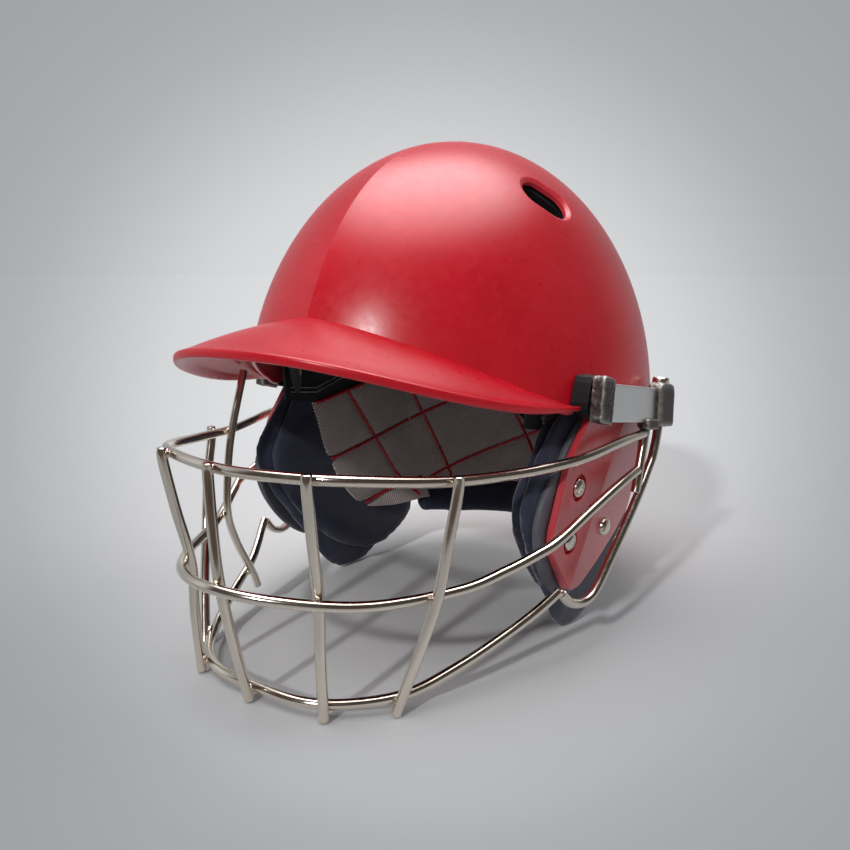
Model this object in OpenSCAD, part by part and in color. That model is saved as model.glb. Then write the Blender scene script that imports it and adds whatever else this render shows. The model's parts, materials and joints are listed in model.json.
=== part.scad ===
// Batting helmet with a wire face guard.
// Millimetres. +X is the wearer's left, -Y is the front, +Z is up, and the helmet rests on z = 0.
// Points are written from the vertical axis of the dome; stand() then centres the box on the origin.

/* [Shell] */
// Half width of the dome
dome_rx = 105.7; // [98:0.1:114]
// Half length of the dome
dome_ry = 129.8; // [120:0.1:140]
// Height of the crown above the widest level
dome_rz = 145.6; // [135:0.1:155]
// Height of the dome's widest level above the floor
dome_z = 112; // [108:0.5:116]
// Wall of the moulded shell
shell_t = 3.2; // [2.4:0.1:4]
// Height of the centre keel
keel_h = 2.2; // [0:0.1:4]
// Angle round the dome over which the keel fades out
keel_spread = 22; // [12:1:35]
// Width of the oval vent
vent_w = 11.5; // [8:0.5:14]
// Length of the oval vent
vent_l = 27; // [20:0.5:32]

/* [Peak] */
// Thickness of the peak
peak_t = 2.6; // [2:0.1:3.6]
// Radius of the rolled lip
lip_r = 2.2; // [1.6:0.1:3.4]
// How far the lip stands out in front of the dome
lip_out = 37.6; // [30:0.1:46]
// Height of the lip at the front
lip_z = 154.9; // [150:0.1:159]
// How far the lip's ends stay inside the dome's half width
lip_in = 3.6; // [1.6:0.1:5.6]
// Rise of the peak's upper face above a straight line
peak_rise = 3.5; // [0:0.1:6]
// Height of the seam at the brow
seam_z = 167.5; // [163:0.1:172]

/* [Padding] */
// Thickness of the hard foam liner
foam_t = 13; // [9:0.5:15]
// Gap between neighbouring layers
layer_gap = 0.4; // [0.3:0.1:0.8]
// Thickness of the quilted lining panels
panel_t = 3.5; // [2.5:0.5:5]
// Thickness of the brow band
brow_t = 6; // [4:0.5:8]
// Thickness of the roll at the nape
roll_t = 14; // [10:0.5:16]
// Thickness of the ear pad
ear_pad_t = 6; // [5:0.5:8]
// Thickness of the firm backing behind the ear plate
backing_t = 4; // [3:0.5:5]
// Thickness of the cheek cushion
cheek_t = 7; // [5:0.5:9]

/* [Ear plate] */
// How far the ear plate's foot stays inside the dome's half width
plate_in = 11.7; // [10.7:0.1:13.7]
// Outward lean of the plate per millimetre of height
plate_lean = 0.0875; // [0.07:0.0005:0.1]
// Thickness of the ear plate
plate_t = 3.2; // [2.5:0.1:4]
// How far the ridge stands proud of the plate's edges
plate_ridge = 2; // [0.5:0.1:2.5]
// Diameter of a plate screw's shank
screw_d = 4; // [3:0.1:5]
// Diameter of a plate screw's head
screw_head_d = 9.4; // [8:0.1:10.4]
// Depth of the counterbores round the two front screws
bore_depth = 1.2; // [0.6:0.1:1.6]

/* [Side bracket] */
// Thickness of the stainless strap
strap_t = 2; // [1.5:0.1:2.5]
// Height of the strap
strap_h = 16.5; // [14:0.1:18]
// Distance of the strap's middle plane outside the dome's half width
strap_out = 3.3; // [2.8:0.1:4.3]
// Slope of the strap, falling to the rear
strap_slope = 8.6; // [6:0.1:11]
// Diameter of the tilt pin
tilt_pin_d = 5; // [4:0.1:6]
// Radial clearance of the strap on the tilt pin
pin_clearance = 0.05; // [0.03:0.01:0.1]
// Lean of the clamp block and the rods
rod_lean = 18.4; // [16:0.1:20]
// Diameter of the clamp screw
clamp_screw_d = 5; // [4:0.1:6]

/* [Face guard] */
// Diameter of the guard wire
wire_d = 4.8; // [4:0.1:5.4]
// How deep a weld sinks one wire into the next
weld = 0.25; // [0.1:0.05:0.4]
// Gap between the stay and the peak
stay_gap = 1; // [0.6:0.1:3]

/* [Hidden] */

red = [0.78, 0.11, 0.19];
navy = [0.19, 0.21, 0.29];
mesh_grey = [0.37, 0.35, 0.35];
foam_black = [0.08, 0.08, 0.09];
nickel = [0.78, 0.75, 0.70];
cast_grey = [0.35, 0.32, 0.31];
steel = [0.72, 0.72, 0.72];

wire_r = wire_d / 2;

// How much longer or wider the dome is than the one the outlines were drawn round
drawn_rx = 105.7;
drawn_ry = 129.8;
drawn_rod_x = 110;
long = dome_ry / drawn_ry;
rod_x = dome_rx + drawn_rod_x - drawn_rx;
wide = rod_x / drawn_rod_x;
function fitted(half) = [for (p = half) [p[0] * wide, p[1] * long, p[2]]];
function stretched(outline) = [for (q = outline) [q[0] * long, q[1]]];

// Guard bars: half of each, from the centre plane to the wearer's left
top_half = fitted([[0, -175, 107.6], [29.5, -172, 108.2], [56, -160.5, 108.1], [77.5, -127, 104],
    [89.5, -93, 101.8], [98.8, -68, 102.2], [104.9, -48, 103.6], [108.5, -18, 105.8]]);
middle_half = fitted([[0, -185, 59], [29.5, -176, 57], [57, -152, 53.5], [79, -117, 54.3],
    [90.5, -97, 59.5], [98, -84, 64.4], [103, -73, 68.8], [106.5, -45, 77.5], [109, -18, 84.5]]);
bottom_half = fitted([[0, -163.4, 6], [25, -162, 6], [44, -152, 6], [61.7, -132.3, 7.6],
    [74, -110, 14.8], [84, -87, 23.4], [90.5, -75, 30], [95, -67.5, 35.3], [98.5, -61, 40.2]]);
// Side loop, from the end of the bottom bar up to the straight rod
loop_half = fitted([[98.75, -59.5, 38.7], [100, -53.6, 32.8], [101.7, -45, 29.4], [103.5, -36.5, 30.2],
    [104.8, -29.5, 35.2], [106.2, -20.5, 45], [107.7, -10.3, 56.2], [109.1, 0.5, 68],
    [110, 9, 77.6], [110, 17.2, 85.4], [110, 23, 91]]);

// Bracket: tilt axis, hinge block, strap and clamp block
tilt_y = -40.5 * long;
tilt_z = 130;
hinge_w = 19;
hinge_h = 20;
hinge_x0 = dome_rx - 0.1;
hinge_x1 = dome_rx + 7.7;
hinge_lean = 20;
hinge_corner = 2;
pin_seat = 0.6;
pin_l = hinge_x1 - hinge_x0 - 2;
slot_gap = 0.4;
strap_x = dome_rx + strap_out;
strap_lap = 6.5;
clamp_y = 32 * long;
clamp_z = 118;
clamp_w = 25;
clamp_h = 22;
clamp_x0 = dome_rx + 0.1;
clamp_x1 = dome_rx + 8.9;
clamp_corner = 2.5;
strap_rear = clamp_y - 7.4;
clamp_screw_l = 14;
clamp_screw_in = 8.6;
lug_y = clamp_y - 18.5;
lug_z = 110.6;
lug_w = 15;
lug_h = 5.5;
lug_inset = 1;
lug_corner = 1.5;

// Rods in the clamp block, both leaning forward at the foot
rod_dir = [0, -sin(rod_lean), -cos(rod_lean)];
stub_top = [rod_x, clamp_y - 19.6, 111.4];
stub_len = 37;
loop_rod_top = [rod_x, clamp_y + 2.5, 121];
loop_rod_len = 24;
loop_rod_foot = loop_rod_top + rod_dir * loop_rod_len;

// Box of the whole helmet along Y
front_y = middle_half[0][1] - wire_r;
shift_y = -(front_y + dome_ry) / 2;

// Bare helpers
function unit(v) = v / norm(v);
function mirror_x(p) = [-p[0], p[1], p[2]];
function both_halves(h) = concat([for (i = [len(h) - 1 : -1 : 1]) mirror_x(h[i])], h);
function smooth(u) = let (c = max(0, min(1, u))) c * c * (3 - 2 * c);
function euler(x, y, z) = [atan2(y[2], z[2]), asin(-x[2]), atan2(x[1], x[0])];

// A smooth curve through its points: position and direction at u, counted in points
function knot(p, i) = i < 0 ? 2 * p[0] - p[1] : i >= len(p) ? 2 * p[len(p) - 1] - p[len(p) - 2] : p[i];
function curve(p, u) = let (i = min(len(p) - 2, max(0, floor(u))), t = u - i,
    a = knot(p, i - 1), b = knot(p, i), c = knot(p, i + 1), d = knot(p, i + 2))
    0.5 * (2 * b + (c - a) * t + (2 * a - 5 * b + 4 * c - d) * t * t + (3 * b - 3 * c + d - a) * t * t * t);
function heading(p, u) = unit(curve(p, min(len(p) - 1, u + 0.02)) - curve(p, max(0, u - 0.02)));
function sampled(p, n) = [for (i = [0 : (len(p) - 1) * n]) curve(p, i / n)];
function closed_curve(p, n) = [for (i = [0 : len(p) - 1]) for (k = [0 : n - 1])
    let (m = len(p), a = p[(i + m - 1) % m], b = p[i], c = p[(i + 1) % m], d = p[(i + 2) % m], t = k / n)
    0.5 * (2 * b + (c - a) * t + (2 * a - 5 * b + 4 * c - d) * t * t + (3 * b - 3 * c + d - a) * t * t * t)];

// Height at an angle, read between [angle, height] pairs
function between(t, a, i = 0) = a <= t[0][0] ? t[0][1] : i >= len(t) - 1 ? t[len(t) - 1][1] :
    a > t[i + 1][0] ? between(t, a, i + 1) :
    t[i][1] + (t[i + 1][1] - t[i][1]) * (a - t[i][0]) / (t[i + 1][0] - t[i][0]);

// The whole helmet stands with its box centred on the origin
module stand() translate([0, shift_y, 0]) children();
module floor_cut() translate([-200, -300, -30]) cube([400, 600, 30]);
module on_side(side) {
    if (side > 0) children();
    else mirror([1, 0, 0]) children();
}

// A closed skin from rings of equal length, capped at both ends
module lofted(rings) {
    n = len(rings[0]);
    m = len(rings);
    polyhedron(
        points = [for (r = rings) each r],
        faces = concat(
            [[for (j = [0 : n - 1]) j]],
            [for (i = [0 : m - 2]) for (j = [0 : n - 1]) let (k = (j + 1) % n)
                each [[i * n + j, (i + 1) * n + j, (i + 1) * n + k], [i * n + j, (i + 1) * n + k, i * n + k]]],
            [[for (j = [n - 1 : -1 : 0]) (m - 1) * n + j]]),
        convexity = 8);
}

// Round wire along points, with the frame carried along so it doesn't twist
function carry(n, t) = unit(n - (n * t) * t);
function bend(p, i) = i == 0 ? unit(p[1] - p[0]) : i == len(p) - 1 ? unit(p[i] - p[i - 1]) :
    unit(unit(p[i + 1] - p[i]) + unit(p[i] - p[i - 1]));
function frames(p, i, n, out) = i == len(p) ? out :
    let (t = bend(p, i), m = carry(n, t))
    frames(p, i + 1, m, concat(out, [[p[i], m, cross(t, m)]]));
wire_sides = 10;
module wire(points, d, start) {
    lofted([for (f = frames(points, 0, start, [])) [for (j = [wire_sides - 1 : -1 : 0])
        f[0] + d / 2 * (cos(j * 360 / wire_sides) * f[1] + sin(j * 360 / wire_sides) * f[2])]]);
}

// The dome: angle a runs round from the front, p down from the crown, t in from the outside
function keel(p, a) = keel_h * smooth((p - 8) / 30) * max(0, 1 - abs(a > 180 ? a - 360 : a) / keel_spread);
function dome(p, a, t) = let (k = keel(p, a))
    [(dome_rx - t) * sin(p) * sin(a), -(dome_ry - t + k) * sin(p) * cos(a),
        dome_z + (dome_rz - t + k * 0.5) * cos(p)];
function fold(a) = let (b = abs(a)) b > 180 ? 360 - b : b;
function level(z, t) = acos(max(-0.98, min(1, (z - dome_z) / (dome_rz - t))));

// Lower edge of the shell: brow, ear cut and nape
rim = [[0, 148], [24, 147], [48, 138], [60, 129], [67, 124], [71, 127], [76, 134], [82, 131],
    [92, 127], [104, 116], [114, 92], [126, 58], [140, 35], [160, 25], [180, 22]];

// Skin between two depths of the dome, closed at the crown, down to an edge of [angle, height] pairs
module cap(edge, t0, t1, nc, nr) {
    n = nr * nc;
    function ring(t) = [for (i = [1 : nr]) for (j = [0 : nc - 1])
        let (a = j * 360 / nc) dome(level(between(edge, fold(a)), t0) * i / nr, a, t)];
    polyhedron(
        points = concat(ring(t0), ring(t1), [dome(0, 0, t0), dome(0, 0, t1)]),
        faces = concat(
            [for (i = [0 : nr - 2]) for (j = [0 : nc - 1]) let (a = i * nc + j, b = i * nc + (j + 1) % nc)
                each [[a, b, b + nc], [a, b + nc, a + nc],
                    [n + a, n + b + nc, n + b], [n + a, n + a + nc, n + b + nc]]],
            [for (j = [0 : nc - 1]) let (k = (j + 1) % nc, a = (nr - 1) * nc + j, b = (nr - 1) * nc + k)
                each [[2 * n, k, j], [2 * n + 1, n + j, n + k], [a, b, n + b], [a, n + b, n + a]]]),
        convexity = 8);
}

// Oval prism along the dome's normal at the middle of a vent
vent_p = 39.4;
vent_a = 103.4;
vent_turn = 38;
module vent_cut() {
    c = dome(vent_p, 180 - vent_a, 0);
    z = unit([c[0] / pow(dome_rx, 2), c[1] / pow(dome_ry, 2), (c[2] - dome_z) / pow(dome_rz, 2)]);
    x = unit(cross([0, 1, 0], z));
    for (side = [1, -1]) on_side(side) translate(c) rotate(euler(x, cross(z, x), z)) rotate([0, 0, vent_turn])
        translate([0, 0, -30]) linear_extrude(50) union() {
            square([vent_l - vent_w, vent_w], center = true);
            for (e = [-1, 1]) translate([e * (vent_l - vent_w) / 2, 0]) circle(d = vent_w, $fn = 24);
        }
}

module shell() color(red) stand() difference() {
    cap(rim, 0, shell_t, 60, 12);
    vent_cut();
}

// The peak: seam on the dome, then out to the rolled lip; t runs from the middle to the side
peak_end = 82;
lip_front = dome_ry + lip_out;
lip_back = 32.8 * long;
lip_w = dome_rx - lip_in;
lip_square = 0.79;
lip_slope = 0.444;
lip_bow = 0.00172;
function lip(t) = let (y = -lip_back - (lip_front - lip_back) * cos(t), q = y + lip_front)
    [lip_w * sign(t) * pow(abs(sin(t)), lip_square), y, lip_z - lip_slope * q + lip_bow * q * q];
// The seam: its last angle round the dome, its fall to there, and how it bends
seam_end = 67;
seam_fall = 43;
seam_bend = 1.6;
seam_lift = 0.7;
function seam_height(a) = seam_z - seam_fall * pow(a / seam_end, seam_bend);
function seam(t) = let (a = seam_end * abs(t) / peak_end,
    q = dome(level(seam_height(a), 0), a, -seam_lift)) [sign(t) * q[0], q[1], q[2]];
function bezier(a, b, c, s) = a * (1 - s) * (1 - s) + b * 2 * s * (1 - s) + c * s * s;
lip_taper = 62;
lip_thin = 0.55;
edge_t = 0.45;
function peak_section(t) = let (
    s0 = seam(t), l = lip(t),
    out = unit([l[0], l[1], 0] - [s0[0], s0[1], 0]),
    reach = norm([l[0] - s0[0], l[1] - s0[1]]),
    r = lip_r * (1 - lip_thin * smooth((abs(t) - lip_taper) / (peak_end - lip_taper))),
    top = l + [0, 0, r],
    c0 = s0 * 0.6 + top * 0.4 + [0, 0, peak_rise * smooth(reach / 12)],
    outer = [for (s = [0, 0.12, 0.27, 0.45, 0.65, 0.85]) bezier(s0, c0, top, s)],
    bead = [for (b = [75, 35, 0, -40, -80, -115]) l + r * (cos(b) * out + sin(b) * [0, 0, 1])],
    inner = [for (s = [0.86, 0.66, 0.46, 0.28, 0.13, 0.01]) bezier(s0, c0, top, s)
        - min(peak_t, edge_t + 0.75 * s * s * reach) * unit(out * 0.35 + [0, 0, 1] * (0.25 + s))])
    concat(outer, bead, inner);
peak_steps = 14;
module peak() color(red) stand()
    lofted([for (i = [-peak_steps : peak_steps]) peak_section(i == 0 ? 0.01 : i * peak_end / peak_steps)]);

// Padding inside the dome; flat facets lie a little inside the true curve, so each layer clears them
facet_gap = 1;
foam_t0 = shell_t + layer_gap + facet_gap;
foam_t1 = foam_t0 + foam_t;
panel_t0 = foam_t1 + layer_gap + facet_gap;
foam_edge = [[0, 156], [24, 155], [48, 146], [60, 139], [71, 138], [82, 141], [92, 139], [104, 131],
    [114, 113], [126, 78], [137, 54], [150, 46], [180, 45]];
module impact_liner() color(foam_black) stand() difference() {
    cap(foam_edge, foam_t0, foam_t1, 40, 9);
    vent_cut();
}

// A slab from a grid of outer points and the matching inner points
module slab(outer, inner) {
    nr = len(outer) - 1;
    nc = len(outer[0]) - 1;
    n = (nc + 1) * (nr + 1);
    polyhedron(
        points = concat([for (r = outer) each r], [for (r = inner) each r]),
        faces = concat(
            [for (i = [0 : nr - 1]) for (j = [0 : nc - 1]) let (a = i * (nc + 1) + j, b = a + nc + 1)
                each [[a, a + 1, b + 1], [a, b + 1, b],
                    [n + a, n + b + 1, n + a + 1], [n + a, n + b, n + b + 1]]],
            [for (j = [0 : nc - 1]) let (a = j, b = nr * (nc + 1) + j)
                each [[a, n + a + 1, a + 1], [a, n + a, n + a + 1],
                    [b, b + 1, n + b + 1], [b, n + b + 1, n + b]]],
            [for (i = [0 : nr - 1]) let (a = i * (nc + 1), b = a + nc)
                each [[a, a + nc + 1, n + a + nc + 1], [a, n + a + nc + 1, n + a],
                    [b, n + b + nc + 1, b + nc + 1], [b, n + b, n + b + nc + 1]]]),
        convexity = 8);
}

// Crown of a padded face: thin at its edges, full in the middle
function crown(u, v) = 0.5 + 0.5 * pow(sin(180 * u), 0.4) * pow(sin(180 * v), 0.4);

// A padded patch of the dome between two angles and two heights
module patch(a0, a1, upper, lower, t0, t, nc, nr) {
    function point(i, j, thick) = let (a = a0 + (a1 - a0) * j / nc,
        z = between(upper, fold(a)) + (between(lower, fold(a)) - between(upper, fold(a))) * i / nr)
        dome(level(z, t0), a, t0 + thick * crown(j / nc, i / nr));
    slab([for (i = [0 : nr]) [for (j = [0 : nc]) point(i, j, 0)]],
        [for (i = [0 : nr]) [for (j = [0 : nc]) point(i, j, t)]]);
}

brow_end = 60;
brow_upper = [[0, 176], [30, 174], [50, 164], [60, 154]];
brow_lower = [[0, 152], [30, 150], [50, 136], [60, 119]];
module brow_band() color(foam_black) stand()
    patch(-brow_end, brow_end, brow_upper, brow_lower, panel_t0, brow_t, 20, 3);
// The rear panel's broad facets need a little more room over the foam
rear_end = 124;
rear_upper = [[0, 160], [180, 160]];
rear_lower = [[0, 45], [180, 45]];
module rear_panel() color(mesh_grey) stand()
    patch(rear_end, 360 - rear_end, rear_upper, rear_lower, panel_t0 + layer_gap, panel_t, 22, 6);
roll_end = 131;
roll_upper = [[0, 43], [180, 43]];
roll_lower = [[0, 23], [180, 23]];
module neck_roll() color(navy) stand()
    patch(roll_end, 360 - roll_end, roll_upper, roll_lower, foam_t0, roll_t, 22, 5);
crown_steps = [[1, 0], [8, 0], [15, 0], [20, 0.5], [21.5, 3], [20, 6], [15, 7.6], [8, 8], [1, 8]];
crown_sides = 24;
module crown_pad() color(foam_black) stand()
    lofted([for (s = crown_steps) [for (j = [0 : crown_sides - 1])
        dome(s[0], j * 360 / crown_sides, panel_t0 + s[1])]]);

// Ear assembly: layers parallel to the leaning plate, at a depth measured inward from its face
plate_x = dome_rx - plate_in;
plate_foot = 40;
function side_x(z, depth) = plate_x + plate_lean * (z - plate_foot) - depth;
function on_layer(q, depth) = [side_x(q[1], depth), q[0], q[1]];
backing_d = plate_t + layer_gap;
nut_t = 0.7;
ear_pad_d = backing_d + backing_t + nut_t + layer_gap;
cheek_d = ear_pad_d + ear_pad_t + layer_gap;
panel_d = cheek_d + cheek_t + layer_gap;

// Plate outline as [y, z]; the ridge runs from its top to its tip
ridge_top = [2.4 * long, 116];
plate_tip = [-43.5 * long, 33.5];
front_corners = concat([ridge_top], stretched([[-38, 121], [-56.3, 100.5], [-66, 68.5], [-64.5, 59.5]]),
    [plate_tip]);
rear_corners = concat([plate_tip], stretched([[-31, 31.6], [-10, 38.6], [13.5, 49.4], [28, 59], [31.5, 68],
    [31, 84], [29.5, 99], [27, 112]]), [ridge_top]);
// Screws, and whether each sits in a counterbore
screw_spots = stretched([[-43, 86.5], [-47, 60.5], [-8, 58]]);
bored = [true, true, false];
bore_room = 1.5;
hole_d = screw_d + 0.4;
// Each facet falls evenly away from the ridge, over half the plate's width
plate_half = 45;
ridge_run = unit(plate_tip - ridge_top);
function ridge_rise(q) = let (d = q - ridge_top)
    plate_ridge * (1 - abs(d[0] * ridge_run[1] - d[1] * ridge_run[0]) / plate_half);
module plate_facet(corners)
    lofted([[for (q = corners) on_layer(q, plate_t)], [for (q = corners) on_layer(q, -ridge_rise(q))]]);
module across(spot, depth) translate([side_x(spot[1], 0), spot[0], spot[1]])
    rotate([0, 90 + atan(plate_lean), 0]) translate([0, 0, -depth]) children();
module screw_holes(d) for (s = screw_spots) across(s, 40) cylinder(h = 60, d = d, $fn = 32);
module ear_plate(side) color(red) stand() on_side(side) difference() {
    union() {
        plate_facet(front_corners);
        plate_facet(rear_corners);
    }
    screw_holes(hole_d);
    for (k = [0 : 2]) if (bored[k]) across(screw_spots[k], -head_seat(k))
        cylinder(h = 10, d = screw_head_d + 2 * bore_room, $fn = 32);
}

// A pad: a smooth outline lofted through [depth, inset] steps
function middle(p) = [for (k = [0, 1]) [for (q = p) q[k]] * [for (q = p) 1] / len(p)];
module pad(outline, steps, n) {
    ring = closed_curve(outline, n);
    c = middle(ring);
    lofted([for (s = steps) [for (q = ring) on_layer(q + (c - q) * min(0.9, s[1] / norm(q - c)), s[0])]]);
}
backing_outline = stretched([[-34, 119], [-58, 98], [-72, 80], [-70, 60], [-54, 38], [-32, 26], [-8, 33],
    [18, 60], [29, 92], [18, 117]]);
ear_pad_outline = stretched([[-38, 126], [-62, 110], [-76, 93], [-78, 78], [-68, 57], [-47, 30], [-30, 8],
    [-13, -1.5], [6, -1.5], [24, 6], [40, 22], [52, 38], [58, 60], [48, 96], [26, 123]]);
cheek_outline = stretched([[-40, 122], [-60, 106], [-72, 88], [-72, 72], [-60, 50], [-40, 29], [-19, 15],
    [3, 8], [24, 8], [44, 15], [58, 30], [55, 62], [44, 96], [24, 120]]);
module ear_backing(side) color(cast_grey) stand() on_side(side) difference() {
    pad(backing_outline, [[backing_d + backing_t, 2], [backing_d + backing_t - 1.2, 0],
        [backing_d + 1, 0], [backing_d, 1.5]], 4);
    screw_holes(hole_d);
}
// The ear pads stand on the floor
module ear_pad(side) color(navy) stand() on_side(side) difference() {
    pad(ear_pad_outline, [[ear_pad_d + ear_pad_t, 6], [ear_pad_d + ear_pad_t - 1.4, 1.4],
        [ear_pad_d + ear_pad_t / 2, 0], [ear_pad_d + 1.4, 1.4], [ear_pad_d, 6]], 3);
    floor_cut();
}
module cheek_cushion(side) color(navy) stand() on_side(side)
    pad(cheek_outline, [[cheek_d + cheek_t, 14], [cheek_d + cheek_t - 1, 6], [cheek_d + cheek_t - 3.5, 1],
        [cheek_d + 2, 0.5], [cheek_d, 3]], 4);

// Side panel: flat against the cheek cushion below, following the foam above
function dome_x(y, z, t) = (dome_rx - t) *
    sqrt(max(0.01, 1 - pow(y / (dome_ry - t), 2) - pow((z - dome_z) / (dome_rz - t), 2)));
panel_foot = stretched([[-42, 122], [-38, 104], [-34, 86], [-27, 70], [-17, 54], [-4, 42], [18, 36],
    [52, 36]]);
panel_y0 = panel_foot[0][0];
panel_y1 = panel_foot[len(panel_foot) - 1][0];
panel_top = 160;
// Where the panel leaves the cheek cushion, and how far it spreads out above it
panel_leave = 122;
panel_blend = 22;
blend_h = 26;
function panel_x(y, z) = min(dome_x(y, z, panel_t0),
    side_x(z, panel_d) + panel_blend * smooth((z - panel_leave) / blend_h));
panel_nc = 16;
panel_nr = 7;
function panel_point(i, j, thick) = let (y = panel_y0 + (panel_y1 - panel_y0) * j / panel_nc,
    foot = between(panel_foot, y), z = panel_top + (foot - panel_top) * i / panel_nr)
    [panel_x(y, z) - thick * crown(j / panel_nc, i / panel_nr), y, z];
module side_panel(side) color(mesh_grey) stand() on_side(side)
    slab([for (i = [0 : panel_nr]) [for (j = [0 : panel_nc]) panel_point(i, j, 0)]],
        [for (i = [0 : panel_nr]) [for (j = [0 : panel_nc]) panel_point(i, j, panel_t)]]);

// Pan-head screws and thin plate nuts that hold the plate on its backing
head_h = 2.9;
head_lift = 0.25;
function head_seat(k) = ridge_rise(screw_spots[k]) + (bored[k] ? -bore_depth : head_lift);
module plate_screws(side) color(nickel) stand() on_side(side)
    for (k = [0 : 2]) let (seat = head_seat(k)) across(screw_spots[k], -seat) {
        rotate_extrude($fn = 32) polygon([[0, 0], [screw_head_d / 2, 0], [screw_head_d / 2, head_h * 0.4],
            [screw_head_d * 0.42, head_h * 0.75], [screw_head_d * 0.28, head_h], [0, head_h]]);
        translate([0, 0, -(backing_d + backing_t + seat)])
            cylinder(h = backing_d + backing_t + seat + 0.1, d = screw_d, $fn = 24);
    }
nut_d = 12;
nut_seat = 0.05;
module plate_nuts(side) color(nickel) stand() on_side(side)
    for (s = screw_spots) across(s, backing_d + backing_t + nut_seat + nut_t)
        cylinder(h = nut_t, d = nut_d, $fn = 32);

// Side bracket: hinge block on the shell, strap, and clamp block on the rods
module leaning(p, lean) translate(p) rotate([-lean, 0, 0]) children();
module rounded_block(x0, x1, w, h, r) translate([(x0 + x1) / 2, 0, 0]) rotate([0, 90, 0])
    linear_extrude(x1 - x0, center = true) {
        square([h - 2 * r, w], center = true);
        square([h, w - 2 * r], center = true);
        for (u = [-1, 1], v = [-1, 1]) translate([u * (h / 2 - r), v * (w / 2 - r)]) circle(r = r, $fn = 24);
    }
module at_tilt_axis(x) translate([x, tilt_y, tilt_z]) rotate([0, 90, 0]) children();
module hinge_block(side) color(cast_grey) stand() on_side(side) difference() {
    leaning([0, tilt_y, tilt_z], hinge_lean) rounded_block(hinge_x0, hinge_x1, hinge_w, hinge_h, hinge_corner);
    translate([strap_x - strap_t / 2 - slot_gap, tilt_y - strap_lap - 1, tilt_z - 20])
        cube([strap_t + 2 * slot_gap, 40, 40]);
    at_tilt_axis(hinge_x0 + pin_seat) cylinder(h = pin_l, d = tilt_pin_d, $fn = 48);
}
module tilt_pin(side) color(steel) stand() on_side(side)
    at_tilt_axis(hinge_x0 + pin_seat) cylinder(h = pin_l, d = tilt_pin_d, $fn = 48);
// Rubber wedge that fills the space between the block and the dome
gasket_w = 11;
gasket_h = 10;
gasket_square = 0.45;
function squared(u) = sign(u) * pow(abs(u), gasket_square);
gasket_ring = [for (k = [0 : 15]) let (a = k * 22.5 + 11.25)
    [gasket_w * squared(cos(a)), gasket_h * squared(sin(a))]];
function leaned(q) = [tilt_y + q[0] * cos(hinge_lean) + q[1] * sin(hinge_lean),
    tilt_z - q[0] * sin(hinge_lean) + q[1] * cos(hinge_lean)];
module bracket_gasket(side) color(foam_black) stand() on_side(side)
    lofted([for (s = [[0.05, 0.5], [0.5, 0.5], [1, 0.9]])
        [for (q = gasket_ring) let (w = leaned(q * s[0])) [dome_x(w[0], w[1], 0) + s[1], w[0], w[1]]],
        [for (q = gasket_ring) let (w = leaned(q)) [hinge_x0, w[0], w[1]]],
        [for (q = gasket_ring) let (w = leaned(q * 0.05)) [hinge_x0, w[0], w[1]]]]);
module strap(side) color(steel) stand() on_side(side) difference() {
    translate([strap_x, 0, 0]) rotate([0, 90, 0]) linear_extrude(strap_t, center = true)
        polygon([for (e = [[tilt_y - strap_lap, 1], [strap_rear, 1], [strap_rear, -1], [tilt_y - strap_lap, -1]])
            [-(tilt_z - (e[0] - tilt_y) * tan(strap_slope) + e[1] * strap_h / 2), e[0]]]);
    at_tilt_axis(strap_x - 5) cylinder(h = 10, d = tilt_pin_d + 2 * pin_clearance, $fn = 48);
}
// Clamp block: takes the strap's end, the loop rod's top and, in a lug below the strap, the stub rod
rod_hole = 30;
module rod_between(top, length, d) translate(top) rotate([-rod_lean, 0, 0])
    translate([0, 0, -length]) cylinder(h = length, d = d, $fn = 32);
module clamp_block(side) color(cast_grey) stand() on_side(side) difference() {
    union() {
        leaning([0, clamp_y, clamp_z], strap_slope)
            rounded_block(clamp_x0, clamp_x1, clamp_w, clamp_h, clamp_corner);
        leaning([0, lug_y, lug_z], strap_slope)
            rounded_block(clamp_x0 + lug_inset, clamp_x1 - lug_inset, lug_w, lug_h, lug_corner);
    }
    translate([strap_x - strap_t / 2, 0, tilt_z - 40]) cube([strap_t, strap_rear, 70]);
    rod_between(loop_rod_top, rod_hole, wire_d);
    rod_between(stub_top, rod_hole, wire_d);
    at_clamp_screw(-clamp_screw_l) cylinder(h = 40, d = clamp_screw_d + 2 * pin_clearance, $fn = 32);
}
module at_clamp_screw(h) leaning([0, clamp_y, clamp_z], strap_slope)
    translate([rod_x, clamp_screw_in - clamp_w / 2, clamp_h / 2 + h]) children();
cap_r = 4.4;
cap_h = 3.4;
socket_d = 4.6;
socket_h = 2;
head_lip = 0.2;
module clamp_screw(side) color(nickel) stand() on_side(side) {
    at_clamp_screw(head_lip - clamp_screw_l) cylinder(h = clamp_screw_l, d = clamp_screw_d, $fn = 32);
    at_clamp_screw(head_lip) difference() {
        rotate_extrude($fn = 32)
            polygon([[0, 0], [cap_r, 0], [cap_r, cap_h - 0.8], [cap_r - 0.6, cap_h], [0, cap_h]]);
        translate([0, 0, cap_h - socket_h]) cylinder(h = cap_h, d = socket_d, $fn = 6);
    }
}

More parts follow.
